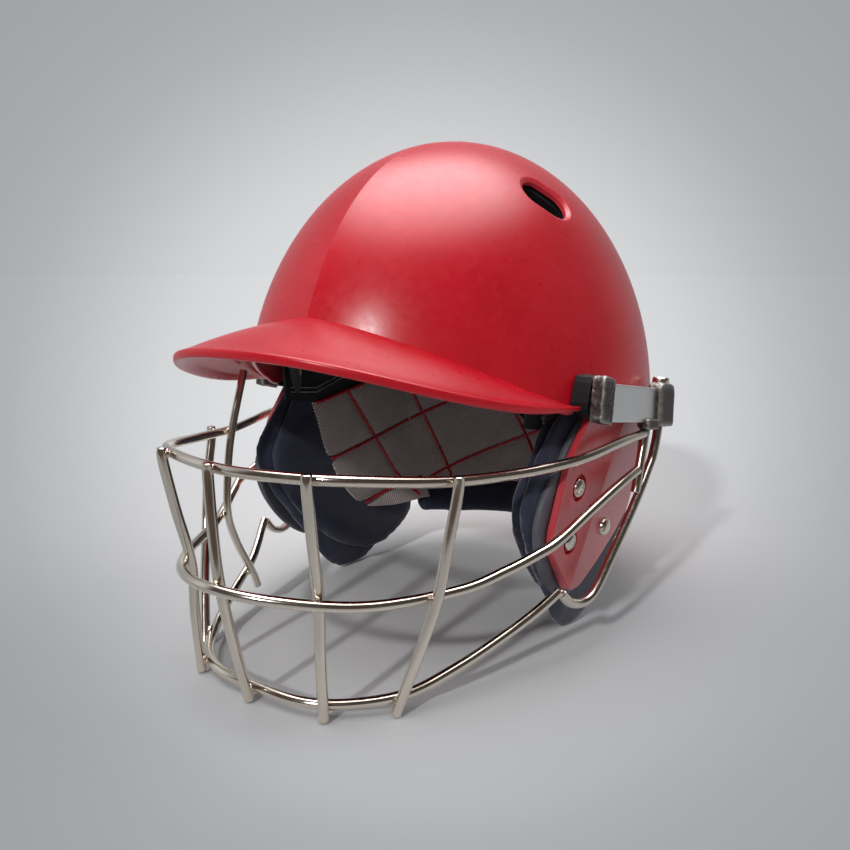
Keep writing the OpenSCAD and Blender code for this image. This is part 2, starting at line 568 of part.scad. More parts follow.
// Face guard
module guard_bar(half, end) color(nickel) stand() {
    p = both_halves(concat(half, [end]));
    wire(sampled(p, 4), wire_d, [0, 0, 1]);
}
function on_stub(z) = stub_top + rod_dir * (stub_top[2] - z) / cos(rod_lean);
module guard_top_bar() guard_bar(top_half, on_stub(106) - [0, wire_r - weld, 0]);
module guard_middle_bar() guard_bar(middle_half, on_stub(88) - [0, wire_r - weld, 0]);
module guard_bottom_bar() color(nickel) stand() wire(sampled(both_halves(bottom_half), 4), wire_d, [0, 0, 1]);
module stub_rod(side) color(nickel) stand() on_side(side) rod_between(stub_top, stub_len, wire_d);
module side_loop(side) color(nickel) stand() on_side(side)
    wire(concat(sampled(concat(loop_half, [loop_rod_foot]), 4), [loop_rod_top]), wire_d, [1, 0, 0]);

// Uprights: how far along each bar they cross it, in points from the middle, and the side they pass on
function across_bar(half, u, offset) = let (p = both_halves(half), m = len(half) - 1 + u,
    t = heading(p, m), n = unit([t[1], -t[0], 0])) curve(p, m) + n * offset;
step_out = wire_d - weld;
butt_h = 3.2;
cut_l = 2;
bow_top = 0.15;
bow_foot = 0.6;
function upright_path(u) = let (
    s = u[3],
    top = across_bar(top_half, u[0], step_out), out = top - across_bar(top_half, u[0], 0),
    mid = across_bar(middle_half, u[1], s * step_out), low = across_bar(bottom_half, u[2], step_out))
    [top + [0, 0, butt_h], top - [0, 0, butt_h], mid + (top - mid) * 0.5 + out * bow_top, mid,
        mid + (low - mid) * 0.5 + unit(out) * bow_foot, low,
        low + (low - mid) * (low[2] + cut_l) / (mid[2] - low[2])];
uprights = [[-3.65, -3.1, -2.85, 1], [-1.43, -1.47, -1.6, -1], [-0.17, 0, 0, -1], [1.48, 1.47, 1.6, -1],
    [3.1, 2.66, 2.85, 1]];
module guard_upright(u) color(nickel) stand() difference() {
    wire(sampled(upright_path(u), 3), wire_d, [1, 0, 0]);
    floor_cut();
}
// Stay: crosses inside the bars on the wearer's right, from below the bottom bar up to just under the peak
stay_d = wire_d - 0.6;
stay_in = (wire_d + stay_d) / 2 - weld;
stay_marks = [across_bar(bottom_half, -4.7, -stay_in), across_bar(middle_half, -3.5, -stay_in),
    across_bar(top_half, -3.83, -stay_in)];
// Underside of the peak where the stay ends
stay_roof = lip_z - 16.8;
stay_top = [-83 * wide, -87 * long, stay_roof - stay_gap - stay_d / 2];
stay_foot = [1.6, 2, -9];
stay_bows = [[-0.6, -1.6, 0], [-0.4, -1.2, 0]];
stay_path = [stay_marks[0] + stay_foot, stay_marks[0], (stay_marks[0] + stay_marks[1]) / 2 + stay_bows[0],
    stay_marks[1], (stay_marks[1] + stay_marks[2]) / 2 + stay_bows[1], stay_marks[2], stay_top];
module guard_stay() color(nickel) stand() wire(sampled(stay_path, 5), stay_d, [1, 0, 0]);

shell();
peak();
impact_liner();
crown_pad();
brow_band();
rear_panel();
neck_roll();
side_panel(1);  // side_panel_left
side_panel(-1);  // side_panel_right
ear_plate(1);  // ear_plate_left
ear_plate(-1);  // ear_plate_right
ear_backing(1);  // ear_backing_left
ear_backing(-1);  // ear_backing_right
ear_pad(1);  // ear_pad_left
ear_pad(-1);  // ear_pad_right
cheek_cushion(1);  // cheek_cushion_left
cheek_cushion(-1);  // cheek_cushion_right
plate_screws(1);  // plate_screws_left
plate_screws(-1);  // plate_screws_right
plate_nuts(1);  // plate_nuts_left
plate_nuts(-1);  // plate_nuts_right
bracket_gasket(1);  // bracket_gasket_left
bracket_gasket(-1);  // bracket_gasket_right
hinge_block(1);  // hinge_block_left
hinge_block(-1);  // hinge_block_right
tilt_pin(1);  // tilt_pin_left
tilt_pin(-1);  // tilt_pin_right
strap(1);  // strap_left
strap(-1);  // strap_right
clamp_block(1);  // clamp_block_left
clamp_block(-1);  // clamp_block_right
clamp_screw(1);  // clamp_screw_left
clamp_screw(-1);  // clamp_screw_right
side_loop(1);  // side_loop_left
side_loop(-1);  // side_loop_right
stub_rod(1);  // stub_rod_left
stub_rod(-1);  // stub_rod_right
guard_top_bar();
guard_middle_bar();
guard_bottom_bar();
guard_stay();
guard_upright(uprights[0]);  // guard_upright_1
guard_upright(uprights[1]);  // guard_upright_2
guard_upright(uprights[2]);  // guard_upright_3
guard_upright(uprights[3]);  // guard_upright_4
guard_upright(uprights[4]);  // guard_upright_5
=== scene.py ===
import json
import math

import bpy
import numpy as np
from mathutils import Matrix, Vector, noise
from mathutils.geometry import delaunay_2d_cdt

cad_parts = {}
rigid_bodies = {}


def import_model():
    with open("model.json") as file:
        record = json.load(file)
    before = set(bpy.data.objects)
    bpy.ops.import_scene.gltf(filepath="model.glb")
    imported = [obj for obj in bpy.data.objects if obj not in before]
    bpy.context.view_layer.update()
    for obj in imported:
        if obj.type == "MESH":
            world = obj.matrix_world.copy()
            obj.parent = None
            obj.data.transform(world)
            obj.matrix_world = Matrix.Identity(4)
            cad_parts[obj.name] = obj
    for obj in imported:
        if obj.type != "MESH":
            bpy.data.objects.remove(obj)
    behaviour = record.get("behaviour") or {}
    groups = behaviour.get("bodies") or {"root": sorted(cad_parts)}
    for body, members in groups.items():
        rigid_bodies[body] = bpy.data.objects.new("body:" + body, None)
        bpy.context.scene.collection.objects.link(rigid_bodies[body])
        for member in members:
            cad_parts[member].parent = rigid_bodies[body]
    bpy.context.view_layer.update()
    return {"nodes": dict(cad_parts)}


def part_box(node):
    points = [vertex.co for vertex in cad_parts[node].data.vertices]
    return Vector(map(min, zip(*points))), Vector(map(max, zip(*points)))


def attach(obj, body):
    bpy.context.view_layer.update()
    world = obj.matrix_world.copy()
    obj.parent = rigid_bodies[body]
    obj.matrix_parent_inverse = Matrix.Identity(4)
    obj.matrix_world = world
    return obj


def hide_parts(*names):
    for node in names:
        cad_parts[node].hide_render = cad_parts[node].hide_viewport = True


# Batting helmet with a wire face guard. Points are millimetres from the dome's vertical axis,
# x to the wearer's left, y to the back, z up from the floor; toFrame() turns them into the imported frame.

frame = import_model()
nodes = frame["nodes"]
scene = bpy.context.scene

mm = 0.001
sides = ((1, "left"), (-1, "right"))
dome = {
    "halfWidth": 105.7, "halfLength": 129.8, "height": 145.6, "level": 112.0, "wall": 3.2,
    "keelHeight": 3.6, "keelSpread": 34, "keelStart": 6, "keelRun": 30, "tiltY": -40.5,
}
pinLow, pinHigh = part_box("tilt_pin_left")
axisY = (pinLow.y + pinHigh.y) / 2 - dome["tiltY"] * mm  # where the dome's axis stands in the frame


def toFrame(points):
    return np.asarray(points, float) * mm + (0, axisY, 0)


def unit(v):
    v = np.asarray(v, float)
    return v / np.linalg.norm(v, axis=-1, keepdims=True)


def smooth(u):
    u = np.clip(u, 0, 1)
    return u * u * (3 - 2 * u)


def spline(points, n, closed=False):  # n steps to each span
    p = np.asarray(points, float)
    if closed:
        p = np.vstack([p[-1:], p, p[:2]])
    else:
        p = np.vstack([2 * p[0] - p[1], p, 2 * p[-1] - p[-2]])
    t = np.arange(n)[:, None] / n
    spans = [
        0.5 * (2 * b + (c - a) * t + (2 * a - 5 * b + 4 * c - d) * t**2 + (3 * b - 3 * c + d - a) * t**3)
        for a, b, c, d in zip(p, p[1:], p[2:], p[3:])
    ]
    return np.vstack(spans if closed else spans + [p[-2:-1]])


def along(points, u):  # the point a fractional count of points along a smooth line
    p = np.asarray(points, float)
    i = int(min(len(p) - 2, max(0, math.floor(u))))
    t = u - i
    a = p[i - 1] if i else 2 * p[0] - p[1]
    b, c = p[i], p[i + 1]
    d = p[i + 2] if i + 2 < len(p) else 2 * p[-1] - p[-2]
    return 0.5 * (2 * b + (c - a) * t + (2 * a - 5 * b + 4 * c - d) * t**2 + (3 * b - 3 * c + d - a) * t**3)


def eased(table, x):  # a smooth height between [angle, height] pairs
    xs, ys = np.array(table, float).T
    slopes = np.gradient(ys, xs)
    i = np.clip(np.searchsorted(xs, x) - 1, 0, len(xs) - 2)
    h = xs[i + 1] - xs[i]
    t = np.clip((x - xs[i]) / h, 0, 1)
    return (
        ys[i] * (1 + 2 * t) * (1 - t) ** 2 + slopes[i] * h * t * (1 - t) ** 2
        + ys[i + 1] * t * t * (3 - 2 * t) + slopes[i + 1] * h * t * t * (t - 1)
    )


def gridFaces(rows, cols, closed=False, first=0, flip=False):
    faces = []
    for i in range(rows - 1):
        for j in range(cols if closed else cols - 1):
            a, b = first + i * cols + j, first + i * cols + (j + 1) % cols
            face = (a, b, b + cols, a + cols)
            faces.append(face[::-1] if flip else face)
    return faces


def addPiece(name, points, faces, finish, body, stands=(), side=1, sharp=None):
    points = np.asarray(points, float) * (side, 1, 1)
    if side < 0:
        faces = [f[::-1] for f in faces]
    mesh = bpy.data.meshes.new(name)
    mesh.from_pydata(toFrame(points).tolist(), [], [list(map(int, f)) for f in faces])
    mesh.shade_smooth()
    if sharp:
        mesh.set_sharp_from_angle(angle=math.radians(sharp))
    obj = bpy.data.objects.new(name, mesh)
    scene.collection.objects.link(obj)
    return dress(obj, finish, body, stands)


def dress(obj, finish, body, stands=()):
    obj.data.materials.clear()
    obj.data.materials.append(finish)
    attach(obj, body)
    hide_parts(*stands)
    return obj


def joined(parts):  # several (points, faces) as one
    points, faces, n = [], [], 0
    for p, f in parts:
        points.append(p)
        faces += [[i + n for i in face] for face in f]
        n += len(p)
    return np.vstack(points), faces


def ringFaces(rows, cols, flip=False):  # a closed skin over stacked rings, with flat ends
    ends = [list(range(cols))[::-1], list(range((rows - 1) * cols, rows * cols))]
    return gridFaces(rows, cols, closed=True, flip=flip) + [end[::-1] if flip else end for end in ends]


def poleFaces(rows, turns):  # a closed skin over stacked rings, with one point at each pole
    last = 1 + rows * turns
    faces = [[f + 1 for f in face[::-1]] for face in gridFaces(rows, turns, closed=True)]
    faces += [[0, 1 + j, 1 + (j + 1) % turns] for j in range(turns)]
    return faces + [[last, last - turns + (j + 1) % turns, last - turns + j] for j in range(turns)]


def stripFaces(rows, flip=False):  # the faces between rings of point numbers
    faces = []
    for upper, lower in zip(rows, rows[1:]):
        for j in range(len(upper)):
            m = (j + 1) % len(upper)
            face = [upper[j], lower[j], lower[m], upper[m]]
            faces.append(face[::-1] if flip else face)
    return faces


def addRing(parts, ring):  # adds points to a list of parts and gives their numbers
    count = sum(len(part) for part in parts)
    parts.append(ring)
    return list(range(count, count + len(ring)))


def tube(path, radius, sides=20, start=(0, 0, 1), chamfer=0.35):  # a round wire with bevelled flat ends
    path = np.asarray(path, float)
    radii = np.broadcast_to(radius, len(path)).astype(float)
    t = unit(np.gradient(path, axis=0))
    path = np.vstack([path[:1], path[:1] + t[0] * chamfer, path[1:-1], path[-1:] - t[-1] * chamfer, path[-1:]])
    t = np.vstack([t[:1], t[:1], t[1:-1], t[-1:], t[-1:]])
    radii = np.concatenate([[radii[0] - chamfer], radii, [radii[-1] - chamfer]])
    angle = np.arange(sides) * 2 * math.pi / sides
    n, rings = np.asarray(start, float), []
    for point, way, r in zip(path, t, radii):
        n = unit(n - way * (n @ way))
        rings.append(point + r * (np.outer(np.cos(angle), n) + np.outer(np.sin(angle), np.cross(way, n))))
    return np.vstack(rings), ringFaces(len(rings), sides)


def inside(points, loop):
    x, y = points[:, 0:1], points[:, 1:2]
    a, b = loop, np.roll(loop, -1, axis=0)
    spans = (a[:, 1] > y) != (b[:, 1] > y)
    with np.errstate(divide="ignore", invalid="ignore"):
        cut = a[:, 0] + (y - a[:, 1]) * (b[:, 0] - a[:, 0]) / (b[:, 1] - a[:, 1])
    return (np.sum(spans & (x < cut), axis=1) % 2) == 1


def insideSkin(points, outline, holes):
    keep = inside(points, outline)
    for hole in holes:
        keep &= ~inside(points, hole)
    return keep


def flatSkin(outline, holes=(), lines=(), spacing=2.0):
    # An even triangle mesh inside a flat outline, round its holes and along its crease lines.
    outline = np.asarray(outline, float)
    chains = [outline, *[np.asarray(h, float) for h in holes]]
    creases = [np.asarray(line, float) for line in lines]
    fixed = np.vstack(chains + creases)
    low, high = outline.min(0), outline.max(0)
    rows = [(y, np.arange(low[0] + (k % 2) * spacing / 2, high[0], spacing))
            for k, y in enumerate(np.arange(low[1], high[1], spacing * 0.87))]
    grid = np.vstack([np.column_stack([xs, np.full(len(xs), y)]) for y, xs in rows])
    grid = grid[insideSkin(grid, outline, chains[1:])]
    gap = np.array([np.min(np.sum((fixed - g) ** 2, axis=1)) for g in grid])
    grid = grid[gap > (0.6 * spacing) ** 2]
    edges, n = [], 0
    for chain in chains:
        edges += [(n + i, n + (i + 1) % len(chain)) for i in range(len(chain))]
        n += len(chain)
    for crease in creases:
        edges += [(n + i, n + i + 1) for i in range(len(crease) - 1)]
        n += len(crease)
    made = delaunay_2d_cdt([Vector(p) for p in np.vstack([fixed, grid])], edges, [], 0, 1e-5)
    flat = np.array([v[:] for v in made[0]])
    where = {old: new for new, olds in enumerate(made[3]) for old in olds}
    tris = np.array(made[2])
    tris = tris[insideSkin(flat[tris].mean(1), outline, chains[1:])]
    a, b, c = (flat[tris[:, k]] for k in range(3))
    turned = (b - a)[:, 0] * (c - a)[:, 1] - (b - a)[:, 1] * (c - a)[:, 0] < 0
    tris[turned] = tris[turned][:, ::-1]
    loops, n = [], 0
    for chain in chains:
        loops.append([where[n + i] for i in range(len(chain))])
        n += len(chain)
    used = np.unique(tris)
    short = {old: new for new, old in enumerate(used)}
    tris = np.array([[short[i] for i in t] for t in tris])
    return flat[used], tris, [[short[i] for i in loop] for loop in loops]


def onDome(p, a, depth=0.0):  # p down from the crown, a round from the front, in degrees
    p, a = np.asarray(p, float), np.asarray(a, float)
    turned = np.abs((a + 180) % 360 - 180)
    keel = dome["keelHeight"] * smooth((p - dome["keelStart"]) / dome["keelRun"])
    keel = keel * np.clip(1 - turned / dome["keelSpread"], 0, 1) ** 2
    p, a = np.radians(p), np.radians(a)
    return np.stack([
        (dome["halfWidth"] - depth) * np.sin(p) * np.sin(a),
        -(dome["halfLength"] - depth + keel) * np.sin(p) * np.cos(a),
        dome["level"] + (dome["height"] - depth + keel * 0.5) * np.cos(p),
    ], axis=-1)


def downTo(z, depth=0.0):  # how far down the dome a height lies
    share = (np.asarray(z, float) - dome["level"]) / (dome["height"] - depth)
    return np.degrees(np.arccos(np.clip(share, -0.98, 0.98)))


def fold(a):
    a = np.abs(np.asarray(a, float))
    return np.where(a > 180, 360 - a, a)


# Finishes

def tone(r, g, b):  # a screen colour as Blender's linear one
    parts = [c / 255 for c in (r, g, b)]
    return tuple(c / 12.92 if c < 0.043 else ((c + 0.055) / 1.055) ** 2.4 for c in parts) + (1.0,)


def fill(tree, socket, value):  # a link, or a constant on the socket itself
    if isinstance(value, bpy.types.NodeSocket):
        tree.links.new(value, socket)
    else:
        socket.default_value = value


def put(tree, kind, settings=(), **sockets):
    made = tree.nodes.new("ShaderNode" + kind)
    for key, value in dict(settings).items():
        setattr(made, key, value)
    for key, value in sockets.items():
        fill(tree, made.inputs[int(key[2:]) if key.startswith("at") else key.replace("_", " ")], value)
    return made


def maths(tree, what, *values):
    return put(tree, "Math", {"operation": what}, **{"at%d" % i: v for i, v in enumerate(values)}).outputs[0]


def softStep(tree, value, low, high):
    return put(tree, "MapRange", {"interpolation_type": "SMOOTHSTEP"},
               Value=value, From_Min=low, From_Max=high).outputs[0]


def dotted(tree, a, b):
    return put(tree, "VectorMath", {"operation": "DOT_PRODUCT"}, at0=a, at1=b).outputs["Value"]


def bumped(tree, height, depth, strength):
    return put(tree, "Bump", Height=height, Distance=depth, Strength=strength).outputs[0]


def objectPlace(tree):
    return put(tree, "TexCoord").outputs["Object"]


def newGroup(name, inputs, outputs):  # an input with a number is a float, one with None a vector
    tree = bpy.data.node_groups.new(name, "ShaderNodeTree")
    for label, value in inputs.items():
        kind = "NodeSocketVector" if value is None else "NodeSocketFloat"
        socket = tree.interface.new_socket(label, in_out="INPUT", socket_type=kind)
        if value is not None:
            socket.default_value = value
    for label, kind in outputs.items():
        tree.interface.new_socket(label, in_out="OUTPUT", socket_type="NodeSocket" + kind)
    return tree, tree.nodes.new("NodeGroupInput").outputs, tree.nodes.new("NodeGroupOutput").inputs


def useGroup(tree, group, **sockets):
    return put(tree, "Group", {"node_tree": group}, **sockets).outputs


def spotsGroup():  # soft uneven patches, for colour and gloss that aren't quite even
    tree, given, result = newGroup("softPatches", {"Size": 0.03, "Detail": 3.0}, {"Mask": "Float"})
    scale = maths(tree, "DIVIDE", 1.0, given["Size"])
    cloud = put(tree, "TexNoise", Vector=objectPlace(tree), Scale=scale, Detail=given["Detail"], Roughness=0.55)
    spread = put(tree, "MapRange", Value=cloud.outputs[0], From_Min=0.3, From_Max=0.7)
    tree.links.new(spread.outputs[0], result["Mask"])
    return tree


def peelGroup():  # the faint ripple of sprayed or moulded skin
    tree, given, result = newGroup(
        "surfaceRipple", {"Size": 0.0012, "Depth": 0.00003, "Strength": 0.5}, {"Normal": "Vector"})
    scale = maths(tree, "DIVIDE", 1.0, given["Size"])
    height = put(tree, "TexNoise", Vector=objectPlace(tree), Scale=scale, Detail=2.0).outputs[0]
    tree.links.new(bumped(tree, height, given["Depth"], given["Strength"]), result["Normal"])
    return tree


def weaveGroup():  # open mesh cloth: rows of small cells, each row half a cell along
    tree, given, result = newGroup(
        "openMesh", {"Vector": None, "Pitch": 0.0014}, {"Cells": "Float", "Height": "Float"})
    parts = put(tree, "SeparateXYZ", Vector=given["Vector"]).outputs
    turn = maths(tree, "DIVIDE", 2 * math.pi, given["Pitch"])
    u, v = (maths(tree, "SINE", maths(tree, "MULTIPLY", parts[i], turn)) for i in (0, 1))
    wave = maths(tree, "MULTIPLY", u, v)
    tree.links.new(softStep(tree, wave, -0.35, 0.5), result["Cells"])
    tree.links.new(wave, result["Height"])
    return tree


def knitGroup():  # fine fuzzy knit over foam
    tree, given, result = newGroup(
        "fineKnit", {"Pitch": 0.0007, "Strength": 0.4}, {"Normal": "Vector", "Mask": "Float"})
    place = objectPlace(tree)
    scale = maths(tree, "DIVIDE", 1.0, given["Pitch"])
    loops = put(tree, "TexVoronoi", {"feature": "F1"}, Vector=place, Scale=scale).outputs["Distance"]
    crease = put(tree, "TexNoise", Vector=place, Scale=130.0, Detail=3.0).outputs[0]
    height = maths(tree, "ADD", maths(tree, "MULTIPLY", loops, -0.5), crease)
    tree.links.new(bumped(tree, height, 0.00012, given["Strength"]), result["Normal"])
    tree.links.new(loops, result["Mask"])
    return tree


def edgeWearHighlightGroup():  # brighter where the mesh is pointy: worn paint on the red parts, and a painted highlight along the cast blocks' edges
    tree, given, result = newGroup("edgeWearAndHighlight", {"Amount": 0.5, "Breakup": 300.0}, {"Mask": "Float"})
    point = put(tree, "NewGeometry").outputs["Pointiness"]
    breakup = put(tree, "TexNoise", Vector=objectPlace(tree), Scale=given["Breakup"], Detail=4.0).outputs[0]
    uneven = maths(tree, "MULTIPLY_ADD", breakup, 0.06, point)
    edge = put(tree, "MapRange", Value=uneven, From_Min=0.535, From_Max=0.6)
    tree.links.new(maths(tree, "MULTIPLY", edge.outputs[0], given["Amount"]), result["Mask"])
    return tree


softPatches, surfaceRipple, openMesh, fineKnit, edgeWearAndHighlight = (
    spotsGroup(), peelGroup(), weaveGroup(), knitGroup(), edgeWearHighlightGroup())


def newFinish(name):
    made = bpy.data.materials.new(name)
    made.use_nodes = True
    tree = made.node_tree
    return made, tree, tree.nodes["Principled BSDF"]


def setShader(tree, shader, **values):
    for key, value in values.items():
        fill(tree, shader.inputs[key.replace("_", " ")], value)


def mixed(tree, factor, a, b):
    return put(tree, "Mix", {"data_type": "RGBA"}, Factor=factor, at6=a, at7=b).outputs[2]


def ranged(tree, value, low, high):
    return put(tree, "MapRange", Value=value, To_Min=low, To_Max=high).outputs[0]


def patchy(tree, size, detail=3.0):
    return useGroup(tree, softPatches, Size=size, Detail=detail)["Mask"]


def rippled(tree, size, depth, strength):
    return useGroup(tree, surfaceRipple, Size=size, Depth=depth, Strength=strength)["Normal"]


def wornAndHighlitEdges(tree, amount, breakup):
    return useGroup(tree, edgeWearAndHighlight, Amount=amount, Breakup=breakup)["Mask"]


def paintFinish(name, deep, bright, gloss, **constants):
    made, tree, shader = newFinish(name)
    body = mixed(tree, patchy(tree, 0.045), deep, bright)
    setShader(tree, shader, Base_Color=mixed(tree, wornAndHighlitEdges(tree, 0.35, 240.0), body, tone(228, 92, 104)),
              Roughness=ranged(tree, patchy(tree, 0.004), gloss - 0.03, gloss + 0.05),
              Normal=rippled(tree, 0.0011, 0.00004, 0.35), **constants)
    return made


def metalFinish(name, base, dark, low, high, streak=None):
    made, tree, shader = newFinish(name)
    heat = put(tree, "Attribute", {"attribute_name": "heat"}).outputs["Fac"]
    colour = mixed(tree, ranged(tree, patchy(tree, 0.02), 0.0, 0.2), base, dark)
    if streak:
        place = put(tree, "Mapping", Vector=objectPlace(tree), Scale=streak).outputs[0]
        uneven = put(tree, "TexNoise", Vector=place, Scale=1.0, Detail=5.0, Roughness=0.7).outputs[0]
        normal = bumped(tree, uneven, 0.00003, 0.35)
    else:
        uneven = patchy(tree, 0.006, 6.0)
        normal = rippled(tree, 0.0009, 0.000002, 0.4)
    # near the welds the colour goes dark brown: a heat tint, and painted shade in the crevices where the wires
    # cross
    setShader(tree, shader, Base_Color=mixed(tree, heat, colour, tone(46, 36, 32)),
              Roughness=ranged(tree, uneven, low, high), Normal=normal, Metallic=1.0)
    return made


def castFinish(name):
    made, tree, shader = newFinish(name)
    place = objectPlace(tree)
    lumps = put(tree, "TexNoise", Vector=place, Scale=1300.0, Detail=5.0, Roughness=0.65).outputs[0]
    pits = put(tree, "TexVoronoi", Vector=place, Scale=1700.0).outputs["Distance"]
    height = maths(tree, "ADD", lumps, maths(tree, "MULTIPLY", pits, 0.6))
    grey = mixed(tree, ranged(tree, lumps, -0.4, 1.4), tone(36, 31, 30), tone(94, 84, 81))
    # the cast blocks' pointy edges are painted pale, as a painted highlight
    setShader(tree, shader, Base_Color=mixed(tree, wornAndHighlitEdges(tree, 0.6, 420.0), grey, tone(225, 220, 212)),
              Roughness=ranged(tree, lumps, 0.25, 0.6), Normal=bumped(tree, height, 0.0003, 0.7), Metallic=0.85)
    return made


def clothFinish(name, deep, bright, pitch, fuzz, gloss=0.75):
    made, tree, shader = newFinish(name)
    knit = useGroup(tree, fineKnit, Pitch=pitch, Strength=0.45)
    base = mixed(tree, patchy(tree, 0.018), deep, bright)
    shade = tuple(c * 0.55 for c in deep[:3]) + (1.0,)
    setShader(tree, shader, Base_Color=mixed(tree, ranged(tree, knit["Mask"], 0.0, 0.35), base, shade),
              Normal=knit["Normal"], Roughness=ranged(tree, knit["Mask"], gloss - 0.08, gloss + 0.12),
              Sheen_Weight=fuzz, Sheen_Roughness=0.45, Specular_IOR_Level=0.35)
    return made


def meshFinish(name):
    made, tree, shader = newFinish(name)
    lay = put(tree, "Attribute", {"attribute_name": "lay"}).outputs["Vector"]
    cloth = useGroup(tree, openMesh, Vector=lay, Pitch=0.0019)
    yarn = mixed(tree, patchy(tree, 0.012), tone(216, 202, 198), tone(234, 220, 216))
    setShader(tree, shader, Base_Color=mixed(tree, cloth["Cells"], tone(122, 112, 110), yarn),
              Normal=bumped(tree, cloth["Height"], 0.0003, 0.6),
              Roughness=ranged(tree, cloth["Cells"], 0.95, 0.7), Sheen_Weight=0.25, Specular_IOR_Level=0.3)
    return made


def plainFinish(name, base, other, gloss, size=0.0015, depth=0.00006, **constants):
    made, tree, shader = newFinish(name)
    patches = patchy(tree, 0.01)
    setShader(tree, shader, Base_Color=mixed(tree, patches, base, other),
              Roughness=ranged(tree, patches, gloss - 0.05, gloss + 0.07),
              Normal=rippled(tree, size, depth, 0.5), **constants)
    return made


shellPaint = paintFinish("shellPaint", tone(184, 10, 27), tone(197, 14, 34), 0.3,
                         Specular_IOR_Level=0.5, Coat_Weight=0.1, Coat_Roughness=0.3)
platePaint = paintFinish("platePaint", tone(176, 12, 25), tone(190, 17, 32), 0.3,
                         Specular_IOR_Level=0.9, Coat_Weight=0.6, Coat_Roughness=0.34)
wireNickel = metalFinish("wireNickel", tone(232, 222, 208), tone(206, 194, 178), 0.12, 0.2)
rodSteel = metalFinish("rodSteel", tone(222, 212, 200), tone(192, 178, 164), 0.16, 0.26)
screwNickel = metalFinish("screwNickel", tone(232, 228, 214), tone(170, 160, 140), 0.12, 0.3)
brushedSteel = metalFinish("brushedSteel", tone(232, 232, 231), tone(214, 214, 214), 0.3, 0.46,
                           streak=(4000.0, 4000.0, 60.0))
castBracket = castFinish("castBracket")
padNavy = clothFinish("padNavy", tone(40, 44, 62), tone(52, 57, 78), 0.0008, 0.3)
browCloth = clothFinish("browCloth", tone(16, 24, 24), tone(26, 36, 35), 0.0011, 0.2, gloss=0.6)
quiltMesh = meshFinish("quiltMesh")
pipingRed = plainFinish("pipingRed", tone(164, 10, 26), tone(188, 20, 38), 0.3,
                        Coat_Weight=0.4, Coat_Roughness=0.2)
stitchThread = plainFinish("stitchThread", tone(168, 172, 172), tone(140, 146, 148), 0.7, size=0.0004)
edgeTape = plainFinish("edgeTape", tone(206, 208, 206), tone(180, 184, 184), 0.6, size=0.0005)
linerFoam = plainFinish("linerFoam", tone(17, 17, 20), tone(25, 25, 29), 0.85, size=0.003, depth=0.0004,
                        Specular_IOR_Level=0.15)
backingGrey = plainFinish("backingGrey", tone(78, 78, 86), tone(92, 92, 100), 0.5)
blackRubber = plainFinish("blackRubber", tone(10, 11, 15), tone(17, 18, 24), 0.5, Specular_IOR_Level=0.25)
print("finishes made")

# Shell

shellEdge = [[0, 148], [24, 147], [48, 138], [60, 129], [67, 124], [71, 127], [76, 134], [82, 131],
             [92, 127], [104, 116], [114, 92], [126, 58], [140, 35], [160, 25], [180, 22]]
vent = {"down": 39.4, "round": 76.6, "width": 19, "length": 27, "turn": 38, "chamfer": 2.6, "sunk": 1.7}


def ventOutline(grow):  # the oval on the wearer's left of the dome, and the way that it faces
    centre = onDome(vent["down"], vent["round"])
    half = np.array([dome["halfWidth"], dome["halfLength"], dome["height"]])
    level = np.array([0, 0, dome["level"]])
    z = unit((centre - level) / half**2)
    x = unit(np.cross((0, 1, 0), z))
    y = np.cross(z, x)
    turn = math.radians(vent["turn"])
    u, v = x * math.cos(turn) + y * math.sin(turn), y * math.cos(turn) - x * math.sin(turn)
    r = vent["width"] / 2 + grow
    reach = (vent["length"] - vent["width"]) / 2
    points = []
    for k in range(36):
        angle = math.radians(k * 10)
        shift = reach if math.cos(angle) >= 0 else -reach
        q = centre + u * (shift + r * math.cos(angle)) + v * r * math.sin(angle) - level
        a, b, c = np.sum((z / half) ** 2), 2 * np.sum(q * z / half**2), np.sum((q / half) ** 2) - 1
        points.append(q + level + z * (-b + math.sqrt(b * b - 4 * a * c)) / (2 * a))
    return np.array(points), z


def toMap(points):  # dome points to the flat map: degrees down the dome, laid out round the crown
    x, y, z = (points - (0, 0, dome["level"])).T
    a = np.arctan2(x / dome["halfWidth"], -y / dome["halfLength"])
    p = np.degrees(np.arccos(np.clip(z / dome["height"], -1, 1)))
    return np.column_stack([p * np.sin(a), -p * np.cos(a)])


def fromMap(flat, depth=0.0):
    return onDome(np.hypot(flat[:, 0], flat[:, 1]), np.degrees(np.arctan2(flat[:, 0], -flat[:, 1])), depth)


